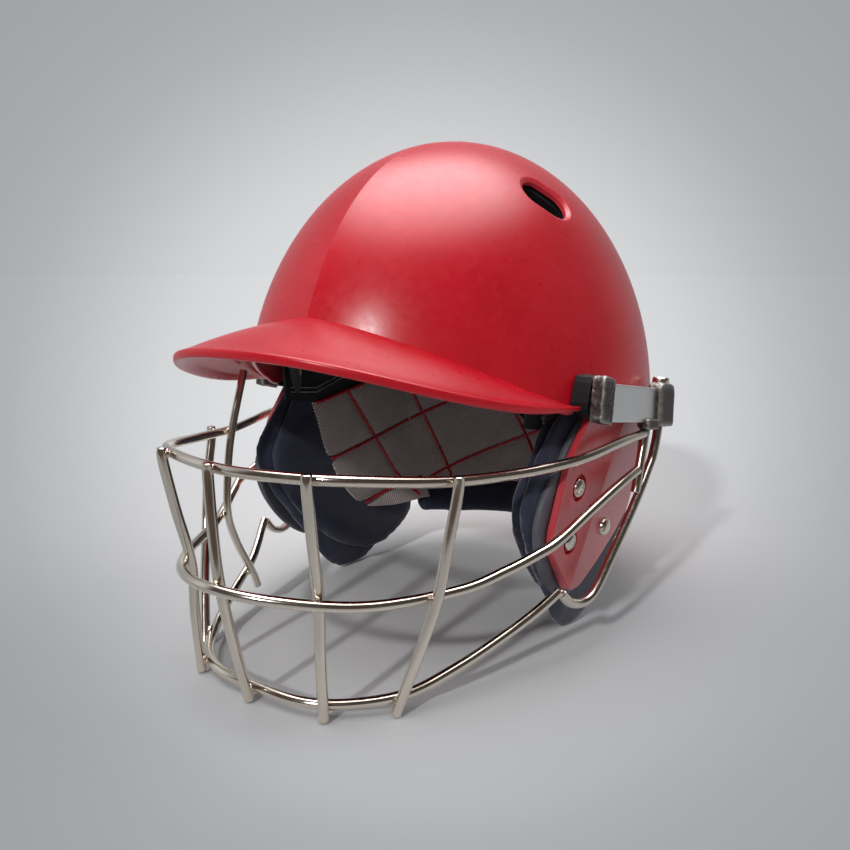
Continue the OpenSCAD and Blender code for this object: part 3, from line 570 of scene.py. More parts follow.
def makeShell():
    a = np.arange(0, 360, 2.0)
    down = downTo(eased(shellEdge, fold(a)))
    rim = np.column_stack([down * np.sin(np.radians(a)), -down * np.cos(np.radians(a))])
    outer, way = ventOutline(vent["chamfer"])
    hole = toMap(outer)
    holes = [hole, (hole * (-1, 1))[::-1]]
    crease = np.column_stack([np.zeros(45), -np.linspace(dome["keelStart"], down[0], 47)[1:-1]])
    flat, tris, loops = flatSkin(rim, holes, [crease], spacing=1.5)
    n = len(flat)
    skin, under = fromMap(flat), fromMap(flat, dome["wall"])
    step = 0.05
    shape = lambda dx, dy: fromMap(flat + (dx, dy))
    slopeY = shape(0, step) - shape(0, -step)
    normals = [unit(np.cross(shape(step * (s > 0), 0) - shape(-step * (s < 0), 0), slopeY)) for s in (-1, 1)]
    parts, faces = [skin, under], [list(t) for t in tris] + [[n + i for i in t[::-1]] for t in tris]
    rimOut, rimIn = skin[loops[0]], under[loops[0]]
    fall = unit(fromMap(flat[loops[0]] * 1.004) - rimOut)
    middle, half = (rimOut + rimIn) / 2, (rimOut - rimIn) / 2
    rows = [loops[0]]
    for angle in np.radians([30, 60, 90, 120, 150]):
        ring = middle + half * math.cos(angle) + fall * math.sin(angle) * dome["wall"] * 0.42
        rows.append(addRing(parts, ring))
    faces += stripFaces(rows + [[n + i for i in loops[0]]])
    inner, nearly = ventOutline(0.0)[0], ventOutline(vent["chamfer"] * 0.55)[0]
    for k, mirror in ((1, 1), (2, -1)):
        rows = [loops[k]]
        for ring, depth in ((nearly, 0.35), (inner, vent["sunk"]), (inner, dome["wall"] + 0.6)):
            ring = (ring - way * depth) * (mirror, 1, 1)
            rows.append(addRing(parts, ring if mirror > 0 else ring[::-1]))
        faces += stripFaces(rows + [[n + i for i in loops[k]]], flip=True)
    obj = addPiece("domeShell", np.vstack(parts), faces, shellPaint, "helmet", ["shell"], sharp=40)
    custom = np.zeros((len(obj.data.loops), 3))
    for t, (tri, x) in enumerate(zip(tris, flat[tris].mean(1)[:, 0])):
        custom[3 * t:3 * t + 3] = normals[int(x > 0)][tri]
    obj.data.normals_split_custom_set(custom.tolist())


makeShell()
print("shell made")

# Peak

peak = {"end": 82, "back": 32.8, "front": 167.4, "lipHeight": 154.9, "halfWidth": 102.1, "lipRadius": 2.2,
        "fall": 0.444, "curl": 0.00172, "thick": 2.6, "seamHeight": 167.5, "seamFall": 43, "seamEnd": 67,
        "rise": 3.5, "square": 0.79, "corner": 0.62}


def peakLip(t):
    y = -peak["back"] - (peak["front"] - peak["back"]) * math.cos(math.radians(t))
    q = y + peak["front"]
    x = peak["halfWidth"] * math.copysign(abs(math.sin(math.radians(t))) ** peak["square"], t)
    return np.array([x, y, peak["lipHeight"] - peak["fall"] * q + peak["curl"] * q * q])


def peakSection(t):
    a = peak["seamEnd"] * abs(t) / peak["end"]
    p = downTo(peak["seamHeight"] - peak["seamFall"] * (a / peak["seamEnd"]) ** 1.6)
    mirror = (math.copysign(1, t), 1, 1)
    seam = onDome(p, a, 0.4) * mirror
    lip = peakLip(t)
    out = unit((lip - seam) * (1, 1, 0))
    reach = np.linalg.norm((lip - seam)[:2])
    r = peak["lipRadius"] * (1 - 0.55 * smooth((abs(t) - 62) / 20))
    up = np.array([0, 0, 1.0])
    top = lip + up * r - out * 0.6
    turn = seam * 0.6 + top * 0.4 + up * peak["rise"] * smooth(reach / 12)

    def arc(s):
        return seam * (1 - s) ** 2 + turn * 2 * s * (1 - s) + top * s * s

    upper = [arc(s) for s in np.concatenate([np.linspace(0, 0.3, 9), np.linspace(0.36, 0.94, 12)])]
    band = []
    for b in np.radians([84, 66, 48, 30, 12, -8, -28, -50, -74, -100, -125]):
        c, s = math.cos(b), math.sin(b)
        k = peak["corner"]
        band.append(lip + r * (math.copysign(abs(c) ** k, c) * out + math.copysign(abs(s) ** k, s) * up))
    under = [
        arc(s) - min(peak["thick"], 0.45 + 0.75 * s * s * reach) * unit(out * 0.35 + up * (0.25 + s))
        for s in np.linspace(0.9, 0.02, 14)
    ]
    return upper + band + under


def makePeak():
    turns = [t if abs(t) > 0.01 else 0.01 for t in np.linspace(-peak["end"], peak["end"], 131)]
    rings = np.array([peakSection(t) for t in turns])
    rows, cols = rings.shape[:2]
    addPiece("peakVisor", rings.reshape(-1, 3), ringFaces(rows, cols, flip=True), shellPaint,
             "helmet", ["peak"], sharp=50)


makePeak()
print("peak made")

# Face guard: the same routes as the frame's wires, swept finely

wire = {"radius": 2.4, "weld": 0.25, "sides": 24, "butt": 3.2}
stay = {"atBottom": -4.7, "atMiddle": -3.5, "atTop": -3.83, "less": 0.3, "top": (-83, -87, 135.0)}
bead = {"radius": 2.0, "turns": 14, "rings": 8, "wobble": 0.06, "heat": 0.75}
topHalf = [[0, -175, 107.6], [29.5, -172, 108.2], [56, -160.5, 108.1], [77.5, -127, 104],
           [89.5, -93, 101.8], [98.8, -68, 102.2], [104.9, -48, 103.6], [108.5, -18, 105.8]]
middleHalf = [[0, -185, 59], [29.5, -176, 57], [57, -152, 53.5], [79, -117, 54.3],
              [90.5, -97, 59.5], [98, -84, 64.4], [103, -73, 68.8], [106.5, -45, 77.5], [109, -18, 84.5]]
bottomHalf = [[0, -163.4, 6], [25, -162, 6], [44, -152, 6], [61.7, -132.3, 7.6],
              [74, -110, 14.8], [84, -87, 23.4], [90.5, -75, 30], [95, -67.5, 35.3], [98.5, -61, 40.2]]
loopHalf = [[98.75, -59.5, 38.7], [100, -53.6, 32.8], [101.7, -45, 29.4], [103.5, -36.5, 30.2],
            [104.8, -29.5, 35.2], [106.2, -20.5, 45], [107.7, -10.3, 56.2], [109.1, 0.5, 68],
            [110, 9, 77.6], [110, 17.2, 85.4], [110, 23, 91]]
rods = {"lean": 18.4, "stubTop": [110, 12.4, 111.4], "stubLength": 37, "loopTop": [110, 34.5, 121],
        "loopLength": 24, "topBarAt": 106, "middleBarAt": 88}
rodWay = np.array([0, -math.sin(math.radians(rods["lean"])), -math.cos(math.radians(rods["lean"]))])
uprightSpots = [[-3.65, -3.1, -2.85, 1], [-1.43, -1.47, -1.6, -1], [-0.17, 0, 0, -1], [1.48, 1.47, 1.6, -1],
                [3.1, 2.66, 2.85, 1]]
stepOut = 2 * wire["radius"] - wire["weld"]
welds = []


def bothHalves(half):
    half = np.asarray(half, float)
    return np.vstack([half[:0:-1] * (-1, 1, 1), half])


def onStub(z):
    top = np.array(rods["stubTop"], float)
    return top + rodWay * (top[2] - z) / math.cos(math.radians(rods["lean"]))


def acrossBar(half, u, offset):
    line = bothHalves(half)
    m = len(half) - 1 + u
    way = unit(along(line, min(len(line) - 1, m + 0.02)) - along(line, max(0, m - 0.02)))
    return along(line, m) + unit(np.array([way[1], -way[0], 0])) * offset


def addWire(name, path, finish, stands, start=(0, 0, 1), side=1, radius=wire["radius"]):
    points, faces = tube(path, radius, wire["sides"], start)
    obj = addPiece(name, points, faces, finish, "guard", stands, side, sharp=35)
    obj["wireMade"] = 1


def giveWeldTintShade(obj, shade):
    obj.data.attributes.new("heat", "FLOAT", "POINT").data.foreach_set("value", shade)


def setWeldTintShade():  # nickel darkened round each weld: a heat tint, and painted shade in the crevices where the wires cross
    spots = toFrame(np.array(welds))
    for obj in bpy.data.objects:
        if obj.get("wireMade"):
            co = np.array([v.co for v in obj.data.vertices])
            gap = np.min(np.linalg.norm(co[:, None] - spots[None], axis=2), axis=1) / mm
            giveWeldTintShade(obj, (0.8 * np.exp(-((np.maximum(gap - 1.9, 0) / 0.9) ** 2))).astype(np.float32))
            del obj["wireMade"]


def makeBars():
    inset = np.array([0, wire["radius"] - wire["weld"], 0])
    for name, half, height in (("top", topHalf, rods["topBarAt"]), ("middle", middleHalf, rods["middleBarAt"]),
                               ("bottom", bottomHalf, None)):
        if height:
            end = onStub(height) - inset
            welds.extend([end, end * (-1, 1, 1)])
            half = half + [list(end)]
        addWire(name + "BarWire", spline(bothHalves(half), 10), wireNickel, ["guard_%s_bar" % name])


def makeSideRods():
    loopTop, stub = (np.array(rods[key], float) for key in ("loopTop", "stubTop"))
    foot = loopTop + rodWay * rods["loopLength"]
    loop = np.vstack([spline(loopHalf + [list(foot)], 8), spline([foot, loopTop], 5)[1:]])
    rod = [stub + rodWay * s for s in np.linspace(0, rods["stubLength"], 12)]
    for side, word in sides:
        addWire(word + "LoopWire", loop, rodSteel, ["side_loop_" + word], (1, 0, 0), side)
        addWire(word + "StubRod", rod, rodSteel, ["stub_rod_" + word], (1, 0, 0), side)
        welds.append(np.array(loopHalf[0]) * (side, 1, 1))


def makeUprights():
    for k, (atTop, atMiddle, atBottom, s) in enumerate(uprightSpots):
        top = acrossBar(topHalf, atTop, stepOut)
        out = top - acrossBar(topHalf, atTop, 0)
        mid = acrossBar(middleHalf, atMiddle, s * stepOut)
        low = acrossBar(bottomHalf, atBottom, stepOut)
        butt = np.array([0, 0, wire["butt"]])
        drop = low + (low - mid) * (low[2] - 0.9) / (mid[2] - low[2])
        line = [top + butt, top - butt, mid + (top - mid) * 0.5 + out * 0.15, mid,
                mid + (low - mid) * 0.5 + unit(out) * 0.6, low, drop]
        number = k + 1
        addWire("uprightWire%d" % number, spline(line, 10), wireNickel, ["guard_upright_%d" % number], (1, 0, 0))
        welds.extend([top - out * 0.5, (mid + acrossBar(middleHalf, atMiddle, 0)) / 2,
                      (low + acrossBar(bottomHalf, atBottom, 0)) / 2])


def makeStay():
    inset = 2 * wire["radius"] - stay["less"] - wire["weld"]
    bars = ((bottomHalf, stay["atBottom"]), (middleHalf, stay["atMiddle"]), (topHalf, stay["atTop"]))
    low, mid, top = (acrossBar(half, u, -inset) for half, u in bars)
    line = [low + (1.6, 2, -9), low, (low + mid) / 2 + (-0.6, -1.6, 0), mid,
            (mid + top) / 2 + (-0.4, -1.2, 0), top, np.array(stay["top"])]
    addWire("stayWire", spline(line, 12), wireNickel, ["guard_stay"], (1, 0, 0),
            radius=wire["radius"] - stay["less"])
    for mark, (half, u) in zip((low, mid, top), bars):
        welds.append((mark + acrossBar(half, u, 0)) / 2)


def addBeads():  # a small fillet of weld metal where the wires meet
    parts = []
    pole = np.array([0, 0, bead["radius"]])
    for spot in welds:
        points = [spot + pole]
        for i in range(1, bead["rings"]):
            p = math.pi * i / bead["rings"]
            for j in range(bead["turns"]):
                a = 2 * math.pi * j / bead["turns"]
                r = bead["radius"] * (1 + bead["wobble"] * math.sin(3 * a + 5 * spot[0]) * math.sin(p))
                way = np.array([math.sin(p) * math.cos(a), math.sin(p) * math.sin(a), math.cos(p)])
                points.append(spot + r * way)
        points.append(spot - pole)
        parts.append((np.array(points), poleFaces(bead["rings"] - 1, bead["turns"])))
    points, faces = joined(parts)
    obj = addPiece("guardWeldBeads", points, faces, wireNickel, "guard")
    # the beads are darkened all over: a heat tint, and painted shade between the crossing wires
    giveWeldTintShade(obj, [bead["heat"]] * len(points))


makeBars()
makeSideRods()
makeUprights()
makeStay()
setWeldTintShade()
addBeads()
print("guard made")

# Ear plates: two facets that meet at a ridge, with counterbored screws

plate = {"foot": 94, "lean": 0.0875, "thick": 3.2, "ridge": 2.0, "half": 45, "round": 4.0, "bevel": 0.5,
         "bores": (6.9, 6.9, 4.7), "boreDeep": 2.0, "holeRadius": 2.2, "seats": (-1.2, -1.2, 0.25)}
ridgeTop, plateTip = np.array([2.4, 116]), np.array([-43.5, 33.5])
plateCorners = [[2.4, 116], [-38, 121], [-56.3, 100.5], [-66, 68.5], [-64.5, 59.5], [-43.5, 33.5],
                [-31, 31.6], [-10, 38.6], [13.5, 49.4], [28, 59], [31.5, 68], [31, 84], [29.5, 99],
                [27, 112]]
screwSpots = [[-43, 86.5], [-47, 60.5], [-8, 58]]
screw = {"turns": 32, "profile": [(0, 2.9), (1.4, 2.84), (2.7, 2.6), (3.8, 2.1), (4.5, 1.4), (4.8, 0.6),
                                  (4.8, -1.1), (2.0, -1.1), (2.0, -7.4), (0, -7.4)]}


def sideX(z, depth):  # the leaning layers of the ear assembly
    return plate["foot"] + plate["lean"] * (z - 40) - depth


def onLayer(flat, depth):
    flat = np.asarray(flat, float)
    return np.column_stack([sideX(flat[:, 1], depth), flat])


def ridgeRise(flat):
    way = unit(plateTip - ridgeTop)
    d = np.asarray(flat, float) - ridgeTop
    return plate["ridge"] * (1 - np.abs(d[..., 0] * way[1] - d[..., 1] * way[0]) / plate["half"])


def roundedLoop(corners, radii, steps=6, spacing=2.5):
    loop, c = [], np.asarray(corners, float)
    for i, radius in enumerate(np.broadcast_to(radii, len(c))):
        a, b, d = c[i - 1], c[i], c[(i + 1) % len(c)]
        r = min(radius, 0.45 * np.linalg.norm(a - b), 0.45 * np.linalg.norm(d - b))
        p, q = b + unit(a - b) * r, b + unit(d - b) * r
        loop += [p * (1 - t) ** 2 + b * 2 * t * (1 - t) + q * t * t for t in np.linspace(0, 1, steps)]
    dense = []
    for a, b in zip(loop, loop[1:] + loop[:1]):
        n = max(1, int(np.linalg.norm(b - a) / spacing))
        dense += [a + (b - a) * k / n for k in range(n)]
    return anticlockwise(np.array(dense))


def anticlockwise(loop):
    area = np.sum(loop[:, 0] * np.roll(loop[:, 1], -1) - np.roll(loop[:, 0], -1) * loop[:, 1])
    return loop[::-1] if area < 0 else loop


def insetLoop(loop, by):  # moves an anticlockwise loop inward
    way = unit(np.roll(loop, -1, axis=0) - np.roll(loop, 1, axis=0))
    return loop + np.column_stack([-way[:, 1], way[:, 0]]) * by


def makePlate(side, word):
    edge = roundedLoop(plateCorners, plate["round"])
    face = insetLoop(edge, plate["bevel"])
    circle = np.array([[math.cos(a), math.sin(a)] for a in np.linspace(0, 2 * math.pi, 33)[:-1]])
    bores = [np.array(s) + circle * r for s, r in zip(screwSpots, plate["bores"])]
    ridge = [ridgeTop + (plateTip - ridgeTop) * s for s in np.linspace(0.02, 0.95, 30)]
    ridge = [q for q in ridge
             if all(np.linalg.norm(q - s) > r + 0.5 for s, r in zip(screwSpots, plate["bores"]))]
    split = next((i for i in range(1, len(ridge)) if np.linalg.norm(ridge[i] - ridge[i - 1]) > 5), len(ridge))
    creases = [part for part in (ridge[:split], ridge[split:]) if len(part) > 1]
    flat, tris, loops = flatSkin(face, bores, creases, spacing=3.0)
    parts, faces, rows = [onLayer(flat, 0)], [list(t) for t in tris], [loops[0]]
    parts[0][:, 0] += ridgeRise(flat)
    back = insetLoop(edge, 0.4)
    for loop, depth in ((edge, plate["bevel"] - ridgeRise(edge)), (edge, plate["thick"] - 0.4),
                        (back, plate["thick"])):
        ring = onLayer(loop, 0)
        ring[:, 0] -= depth
        rows.append(addRing(parts, ring))
    faces += stripFaces(rows) + [rows[-1][::-1]]
    for spot, bore, loop in zip(screwSpots, plate["bores"], loops[1:]):
        rows = [loop]
        for radius, deep in ((bore - 0.3, 0.35), (bore - 0.3, plate["boreDeep"]),
                             (plate["holeRadius"], plate["boreDeep"])):
            outline = np.array(spot) + circle * radius
            ring = onLayer(outline, 0)
            ring[:, 0] += ridgeRise(outline) - deep
            rows.append(addRing(parts, ring))
        faces += stripFaces(rows, flip=True) + [rows[-1]]
    obj = addPiece(word + "EarPlate", np.vstack(parts), faces, platePaint, "helmet",
                   ["ear_plate_" + word], side, sharp=25)
    crest = set(np.flatnonzero(ridgeRise(flat) > plate["ridge"] - 0.001).tolist())
    for crease in obj.data.edges:  # a hard line where the facets meet
        if set(crease.vertices) <= crest:
            crease.use_edge_sharp = True


def makeScrews(side, word):  # domed heads on plain shanks
    lean = math.atan(plate["lean"])
    out, up = np.array([math.cos(lean), 0, -math.sin(lean)]), np.array([math.sin(lean), 0, math.cos(lean)])
    back = np.array([0, 1.0, 0])
    profile, turns = screw["profile"], screw["turns"]
    parts = []
    for spot, seat in zip(screwSpots, plate["seats"]):
        origin = np.array([sideX(spot[1], 0) + float(ridgeRise(np.array(spot))) + seat, spot[0], spot[1]])
        rings = [origin + out * profile[0][1]]
        for r, h in profile[1:-1]:
            for j in range(turns):
                a = 2 * math.pi * j / turns
                rings.append(origin + out * h + r * (math.cos(a) * back + math.sin(a) * up))
        rings.append(origin + out * profile[-1][1])
        parts.append((np.array(rings), poleFaces(len(profile) - 2, turns)))
    points, faces = joined(parts)
    addPiece(word + "PlateScrews", points, faces, screwNickel, "helmet",
             ["plate_screws_" + word], side, sharp=40)


for side, word in sides:
    makePlate(side, word)
    makeScrews(side, word)
print("ear plates made")

# Padding: smooth lofts on the leaning layers, filled out by a short cloth simulation

pads = {"backingDepth": 3.6, "backingThick": 4, "padDepth": 8.7, "padThick": 6, "cheekDepth": 15.1,
        "cheekThick": 7, "panelDepth": 22.5}
backingOutline = [[-34, 119], [-58, 98], [-72, 80], [-70, 60], [-54, 38], [-32, 26], [-8, 33],
                  [18, 60], [29, 92], [18, 117]]
earPadOutline = [[-38, 126], [-62, 110], [-76, 93], [-78, 78], [-68, 57], [-47, 30], [-30, 8], [-13, -1.5],
                 [6, -1.5], [24, 6], [40, 22], [52, 38], [58, 60], [48, 96], [26, 123]]
cheekOutline = [[-40, 122], [-60, 106], [-72, 88], [-72, 72], [-60, 50], [-40, 29], [-19, 15],
                [3, 8], [24, 8], [44, 15], [58, 30], [55, 62], [44, 96], [24, 120]]


def padLoft(outline, depth, thick, roll, bulge=0.0, n=10, inner=(0.12, 0.28, 0.46, 0.64, 0.82)):
    # depth and thick run from the plate towards the head; roll is how far the edge rounds in
    ring = anticlockwise(spline(outline, n, closed=True))
    centre = ring.mean(0)
    toCentre = unit(centre - ring)
    way = unit(np.roll(ring, -1, axis=0) - np.roll(ring, 1, axis=0))
    inward = unit(0.5 * toCentre + np.column_stack([-way[:, 1], way[:, 0]]))
    rows = []
    for f in inner[::-1]:
        edge = ring + inward * roll
        rows.append(onLayer(edge + (centre - edge) * f, depth))
    for angle in np.radians([-90, -66, -42, -18, 6, 30, 54, 78, 90]):
        inset = roll * (1 - math.cos(angle))
        rows.append(onLayer(ring + inward * inset, depth + thick / 2 * (1 + math.sin(angle))))
    for f in inner:
        edge = ring + inward * roll
        rows.append(onLayer(edge + (centre - edge) * f, depth + thick + bulge * smooth(f * 2.5)))
    cols = len(ring)
    points = np.vstack(rows + [onLayer([centre], depth), onLayer([centre], depth + thick + bulge)])
    faces = gridFaces(len(rows), cols, closed=True)
    a, b = len(points) - 2, len(points) - 1
    faces += [[a, (j + 1) % cols, j] for j in range(cols)]
    faces += [[b, (len(rows) - 1) * cols + j, (len(rows) - 1) * cols + (j + 1) % cols] for j in range(cols)]
    return points, faces


def inflate(obj, cap, voxel=3.0, pressure=4.0):  # swells a pad like filled cloth, then smooths it
    parent, obj.parent = obj.parent, None
    remesh = obj.modifiers.new("voxels", "REMESH")
    remesh.mode = "VOXEL"
    remesh.voxel_size = voxel * mm
    bakeModifiers(obj)
    rest = np.array([v.co for v in obj.data.vertices])
    cloth = obj.modifiers.new("cloth", "CLOTH")
    cloth.settings.use_pressure = True
    cloth.settings.uniform_pressure_force = pressure
    cloth.settings.effector_weights.gravity = 0
    cloth.settings.quality = 5
    cloth.point_cache.frame_end = 20
    for f in range(1, 21):
        scene.frame_set(f)
    shape = obj.evaluated_get(bpy.context.evaluated_depsgraph_get()).data
    moved = np.array([v.co for v in shape.vertices]) - rest
    far = np.linalg.norm(moved, axis=1, keepdims=True)
    moved *= np.minimum(1, cap * mm / np.maximum(far, 1e-9))
    obj.modifiers.clear()
    scene.frame_set(1)
    obj.data.vertices.foreach_set("co", (rest + moved).ravel())
    even = obj.modifiers.new("even", "SMOOTH")
    even.factor, even.iterations = 0.5, 3
    finer = obj.modifiers.new("finer", "SUBSURF")
    finer.levels = finer.render_levels = 1
    bakeModifiers(obj)
    for v in obj.data.vertices:  # flat where it stands
        v.co.z = max(v.co.z, 0.0002)
    obj.data.shade_smooth()
    obj.parent = parent


def bakeModifiers(obj):
    graph = bpy.context.evaluated_depsgraph_get()
    graph.update()
    made = bpy.data.meshes.new_from_object(obj.evaluated_get(graph))
    obj.modifiers.clear()
    obj.data = made


def mirrorPiece(obj, name, finish, stands):
    co = np.array([v.co for v in obj.data.vertices]) * (-1, 1, 1)
    mesh = bpy.data.meshes.new(name)
    mesh.from_pydata(co.tolist(), [], [list(p.vertices)[::-1] for p in obj.data.polygons])
    mesh.shade_smooth()
    made = bpy.data.objects.new(name, mesh)
    scene.collection.objects.link(made)
    return dress(made, finish, "helmet", stands)


def makePads():
    # the ear pad and cheek cushion of one side are simulated and mirrored to the other
    shapes = (
        ("EarPad", "ear_pad_", padLoft(earPadOutline, pads["padDepth"] + 0.4, pads["padThick"] - 0.6, 3.4)),
        ("CheekCushion", "cheek_cushion_",
         padLoft(cheekOutline, pads["cheekDepth"] + 0.5, pads["cheekThick"] - 1.2, 5.5, bulge=0.5)),
    )
    for word, node, (points, faces) in shapes:
        made = addPiece("left" + word, points, faces, padNavy, "helmet", [node + "left"])
        inflate(made, cap=2.0)
        other = mirrorPiece(made, "right" + word, padNavy, [node + "right"])
    for side, word in sides:
        points, faces = padLoft(backingOutline, pads["backingDepth"], pads["backingThick"], 1.4, n=12)
        addPiece(word + "EarBacking", points, faces, backingGrey, "helmet",
                 ["ear_backing_" + word], side)


makePads()
print("ear pads made")

# Quilted mesh lining with piping in its valleys

lining = {"panelFace": 19.0, "thick": 3.5, "dip": 1.5, "dipWidth": 3.2, "least": 0.5, "piping": 1.0,
          "top": 160, "front": -42, "back": 52, "rearFoot": 45}
panelFoot = [[-42, 122], [-38, 104], [-34, 86], [-27, 70], [-17, 54], [-4, 42], [18, 36], [52, 36]]


def domeX(y, z, depth):
    rest = 1 - (y / (dome["halfLength"] - depth)) ** 2 - ((z - dome["level"]) / (dome["height"] - depth)) ** 2
    return (dome["halfWidth"] - depth) * np.sqrt(np.maximum(0.01, rest))


def sideLines():  # the diamond's two families on a side panel, as [y, z] ends
    steep = [[[2 + 65 * k + 0.713 * (100 - z), z] for z in (170, 20)] for k in (-1, 0, 1)]
    flat = [[[y, 79.5 + 38.5 * k + 0.16 * y] for y in (-90, 90)] for k in (-1, 0, 1, 2)]
    return steep + flat


def rearLines():  # the same families round the nape, as [angle, z] ends
    steep = [[[start + slope * (z - 90), z] for z in (170, 20)]
             for start, slope in ((147, 0.42), (193, 0.44), (234.3, 0.286))]
    flat = [[[a, 79.5 + 0.6 * (180 - a) + 45 * k] for a in (110, 250)] for k in (-1, 0, 1, 2)]
    return steep + flat


def nearLine(u, v, line, scaleU=1.0):
    (u0, v0), (u1, v1) = line
    du, dv = (u1 - u0) * scaleU, v1 - v0
    return np.abs((u - u0) * scaleU * dv - (v - v0) * du) / math.hypot(du, dv)


def dips(u, v, lines, scaleU=1.0):
    gap = np.min([nearLine(u, v, line, scaleU) for line in lines], axis=0)
    return lining["dip"] * np.exp(-((gap / lining["dipWidth"]) ** 2))


def fullness(u, v):
    return 0.45 + 0.55 * np.clip(np.sin(np.pi * u), 0, 1) ** 0.35 * np.clip(np.sin(np.pi * v), 0, 1) ** 0.35


def sideFace(y, z):
    lean = sideX(z, pads["panelDepth"]) + 22 * smooth((z - 122) / 26)
    return np.minimum(domeX(y, z, lining["panelFace"]), lean)


def addLay(obj, lay):
    made = obj.data.attributes.new("lay", "FLOAT_VECTOR", "POINT")
    made.data.foreach_set("vector", (lay * mm).astype(np.float32).ravel())


def slabPiece(name, outer, inner, lay, finish, stands, side=1, flip=False):
    rows, cols = outer.shape[:2]
    n = rows * cols
    points = np.vstack([outer.reshape(-1, 3), inner.reshape(-1, 3)])
    faces = gridFaces(rows, cols, flip=flip) + gridFaces(rows, cols, first=n, flip=not flip)
    rim = [i * cols for i in range(rows)] + [(rows - 1) * cols + j for j in range(1, cols)]
    rim += [i * cols + cols - 1 for i in range(rows - 2, -1, -1)] + list(range(cols - 2, 0, -1))
    for a, b in zip(rim, rim[1:] + rim[:1]):
        face = [a, b, n + b, n + a]
        faces.append(face[::-1] if flip else face)
    obj = addPiece(name, points, faces, finish, "helmet", stands, side, sharp=70)
    flat = np.zeros((2 * n, 3))
    flat[:n, :2] = flat[n:, :2] = lay.reshape(-1, 2)
    addLay(obj, flat)


def unitGrid(rows, cols):
    v, u = np.meshgrid(np.linspace(0, 1, rows), np.linspace(0, 1, cols), indexing="ij")
    return u, v


def lineWalk(line, count):  # even points from one end of a line to the other
    a, b = np.array(line, float)
    return (a + (b - a) * np.linspace(0, 1, count)[:, None]).T


def pipingDepth(full):  # how far into the quilt's face the piping lies
    return np.maximum(lining["thick"] * full - lining["dip"], lining["least"]) + lining["piping"] * 0.35


def pipingPiece(name, paths, side=1):
    points, faces = joined([tube(p, lining["piping"], 12, chamfer=0.3) for p in paths if len(p) > 3])
    addPiece(name, points, faces, pipingRed, "helmet", (), side, sharp=50)


def makeSidePanel(side, word):
    top, front, back = lining["top"], lining["front"], lining["back"]
    u, v = unitGrid(130, 150)
    y = front + (back - front) * u
    z = top + (eased(panelFoot, y) - top) * v
    face = sideFace(y, z)
    puff = lining["thick"] * fullness(u, v) - dips(y, z, sideLines())
    outer = np.stack([face, y, z], axis=-1)
    inner = np.stack([face - np.maximum(puff, lining["least"]), y, z], axis=-1)
    slabPiece(word + "QuiltPanel", outer, inner, np.stack([y, z], axis=-1), quiltMesh,
              ["side_panel_" + word], side)
    paths = []
    for line in sideLines():
        py, pz = lineWalk(line, 160)
        foot = eased(panelFoot, py)
        keep = (py > front + 2) & (py < back + 1) & (pz > foot + 1.5) & (pz < top - 2)
        py, pz, foot = py[keep], pz[keep], foot[keep]
        full = fullness((py - front) / (back - front), (pz - top) / (foot - top))
        paths.append(np.column_stack([sideFace(py, pz) - pipingDepth(full), py, pz]))
    pipingPiece(word + "PanelPiping", paths, side)


def rearReach(z):  # how far round from the back the rear panel runs before it meets a side panel
    spread = np.sin(np.radians(downTo(z, lining["panelFace"])))
    share = (lining["back"] + 0.4) / ((dome["halfLength"] - lining["panelFace"]) * spread)
    return np.degrees(np.arccos(np.clip(share, 0, 1)))


def makeRearPanel():
    top, foot, skin = lining["top"], lining["rearFoot"], lining["panelFace"]
    u, v = unitGrid(120, 240)
    z = top + (foot - top) * v
    a = 180 + (2 * u - 1) * rearReach(z)
    puff = lining["thick"] * fullness(u, v) - dips(a, z, rearLines(), 1.6)
    p = downTo(z, skin)
    slabPiece("rearQuiltPanel", onDome(p, a, skin), onDome(p, a, skin + np.maximum(puff, lining["least"])),
              np.stack([a * 1.6, z], axis=-1), quiltMesh, ["rear_panel"], flip=True)
    paths = []
    for line in rearLines():
        pa, pz = lineWalk(line, 200)
        reach = rearReach(pz)
        keep = (np.abs(pa - 180) < reach - 0.5) & (pz > foot + 2) & (pz < top - 2)
        pa, pz, reach = pa[keep], pz[keep], reach[keep]
        full = fullness((pa - 180) / (2 * reach) + 0.5, (pz - top) / (foot - top))
        paths.append(onDome(downTo(pz, skin), pa, skin + pipingDepth(full)))
    pipingPiece("rearPanelPiping", paths)


for side, word in sides:
    makeSidePanel(side, word)
makeRearPanel()
print("quilted lining made")

# Brow band, neck roll and crown pad

browUpper = [[0, 176], [30, 174], [50, 164], [60, 154]]
browLower = [[0, 152], [30, 150], [50, 136], [60, 119]]
brow = {"reach": 60, "thick": 6, "piping": 1.1, "rowsFromEdge": (5.0, 7.4), "fall": 26, "rowReach": 57,
        "stitches": 50}


def browHeight(a, share):
    upper = eased(browUpper, fold(a))
    return upper + (eased(browLower, fold(a)) - upper) * share


def browPoint(a, share, out=0.0):  # share runs down the band; out stands off its padded face
    full = fullness((a + brow["reach"]) / (2 * brow["reach"]), share)
    return onDome(downTo(browHeight(a, share), lining["panelFace"]), a,
                  lining["panelFace"] + brow["thick"] * full + out)


def stitchRow(at, count, radius=0.32):  # at(s, lift) gives a point on the seam, s from 0 to 1
    parts = []
    for k in range(count):
        s0, s1 = (k + 0.14) / count, (k + 0.86) / count
        path = np.array([at(s0 + (s1 - s0) * t, math.sin(math.pi * t)) for t in np.linspace(0, 1, 5)])
        parts.append(tube(path, radius, 6, chamfer=0.1))
    return joined(parts)


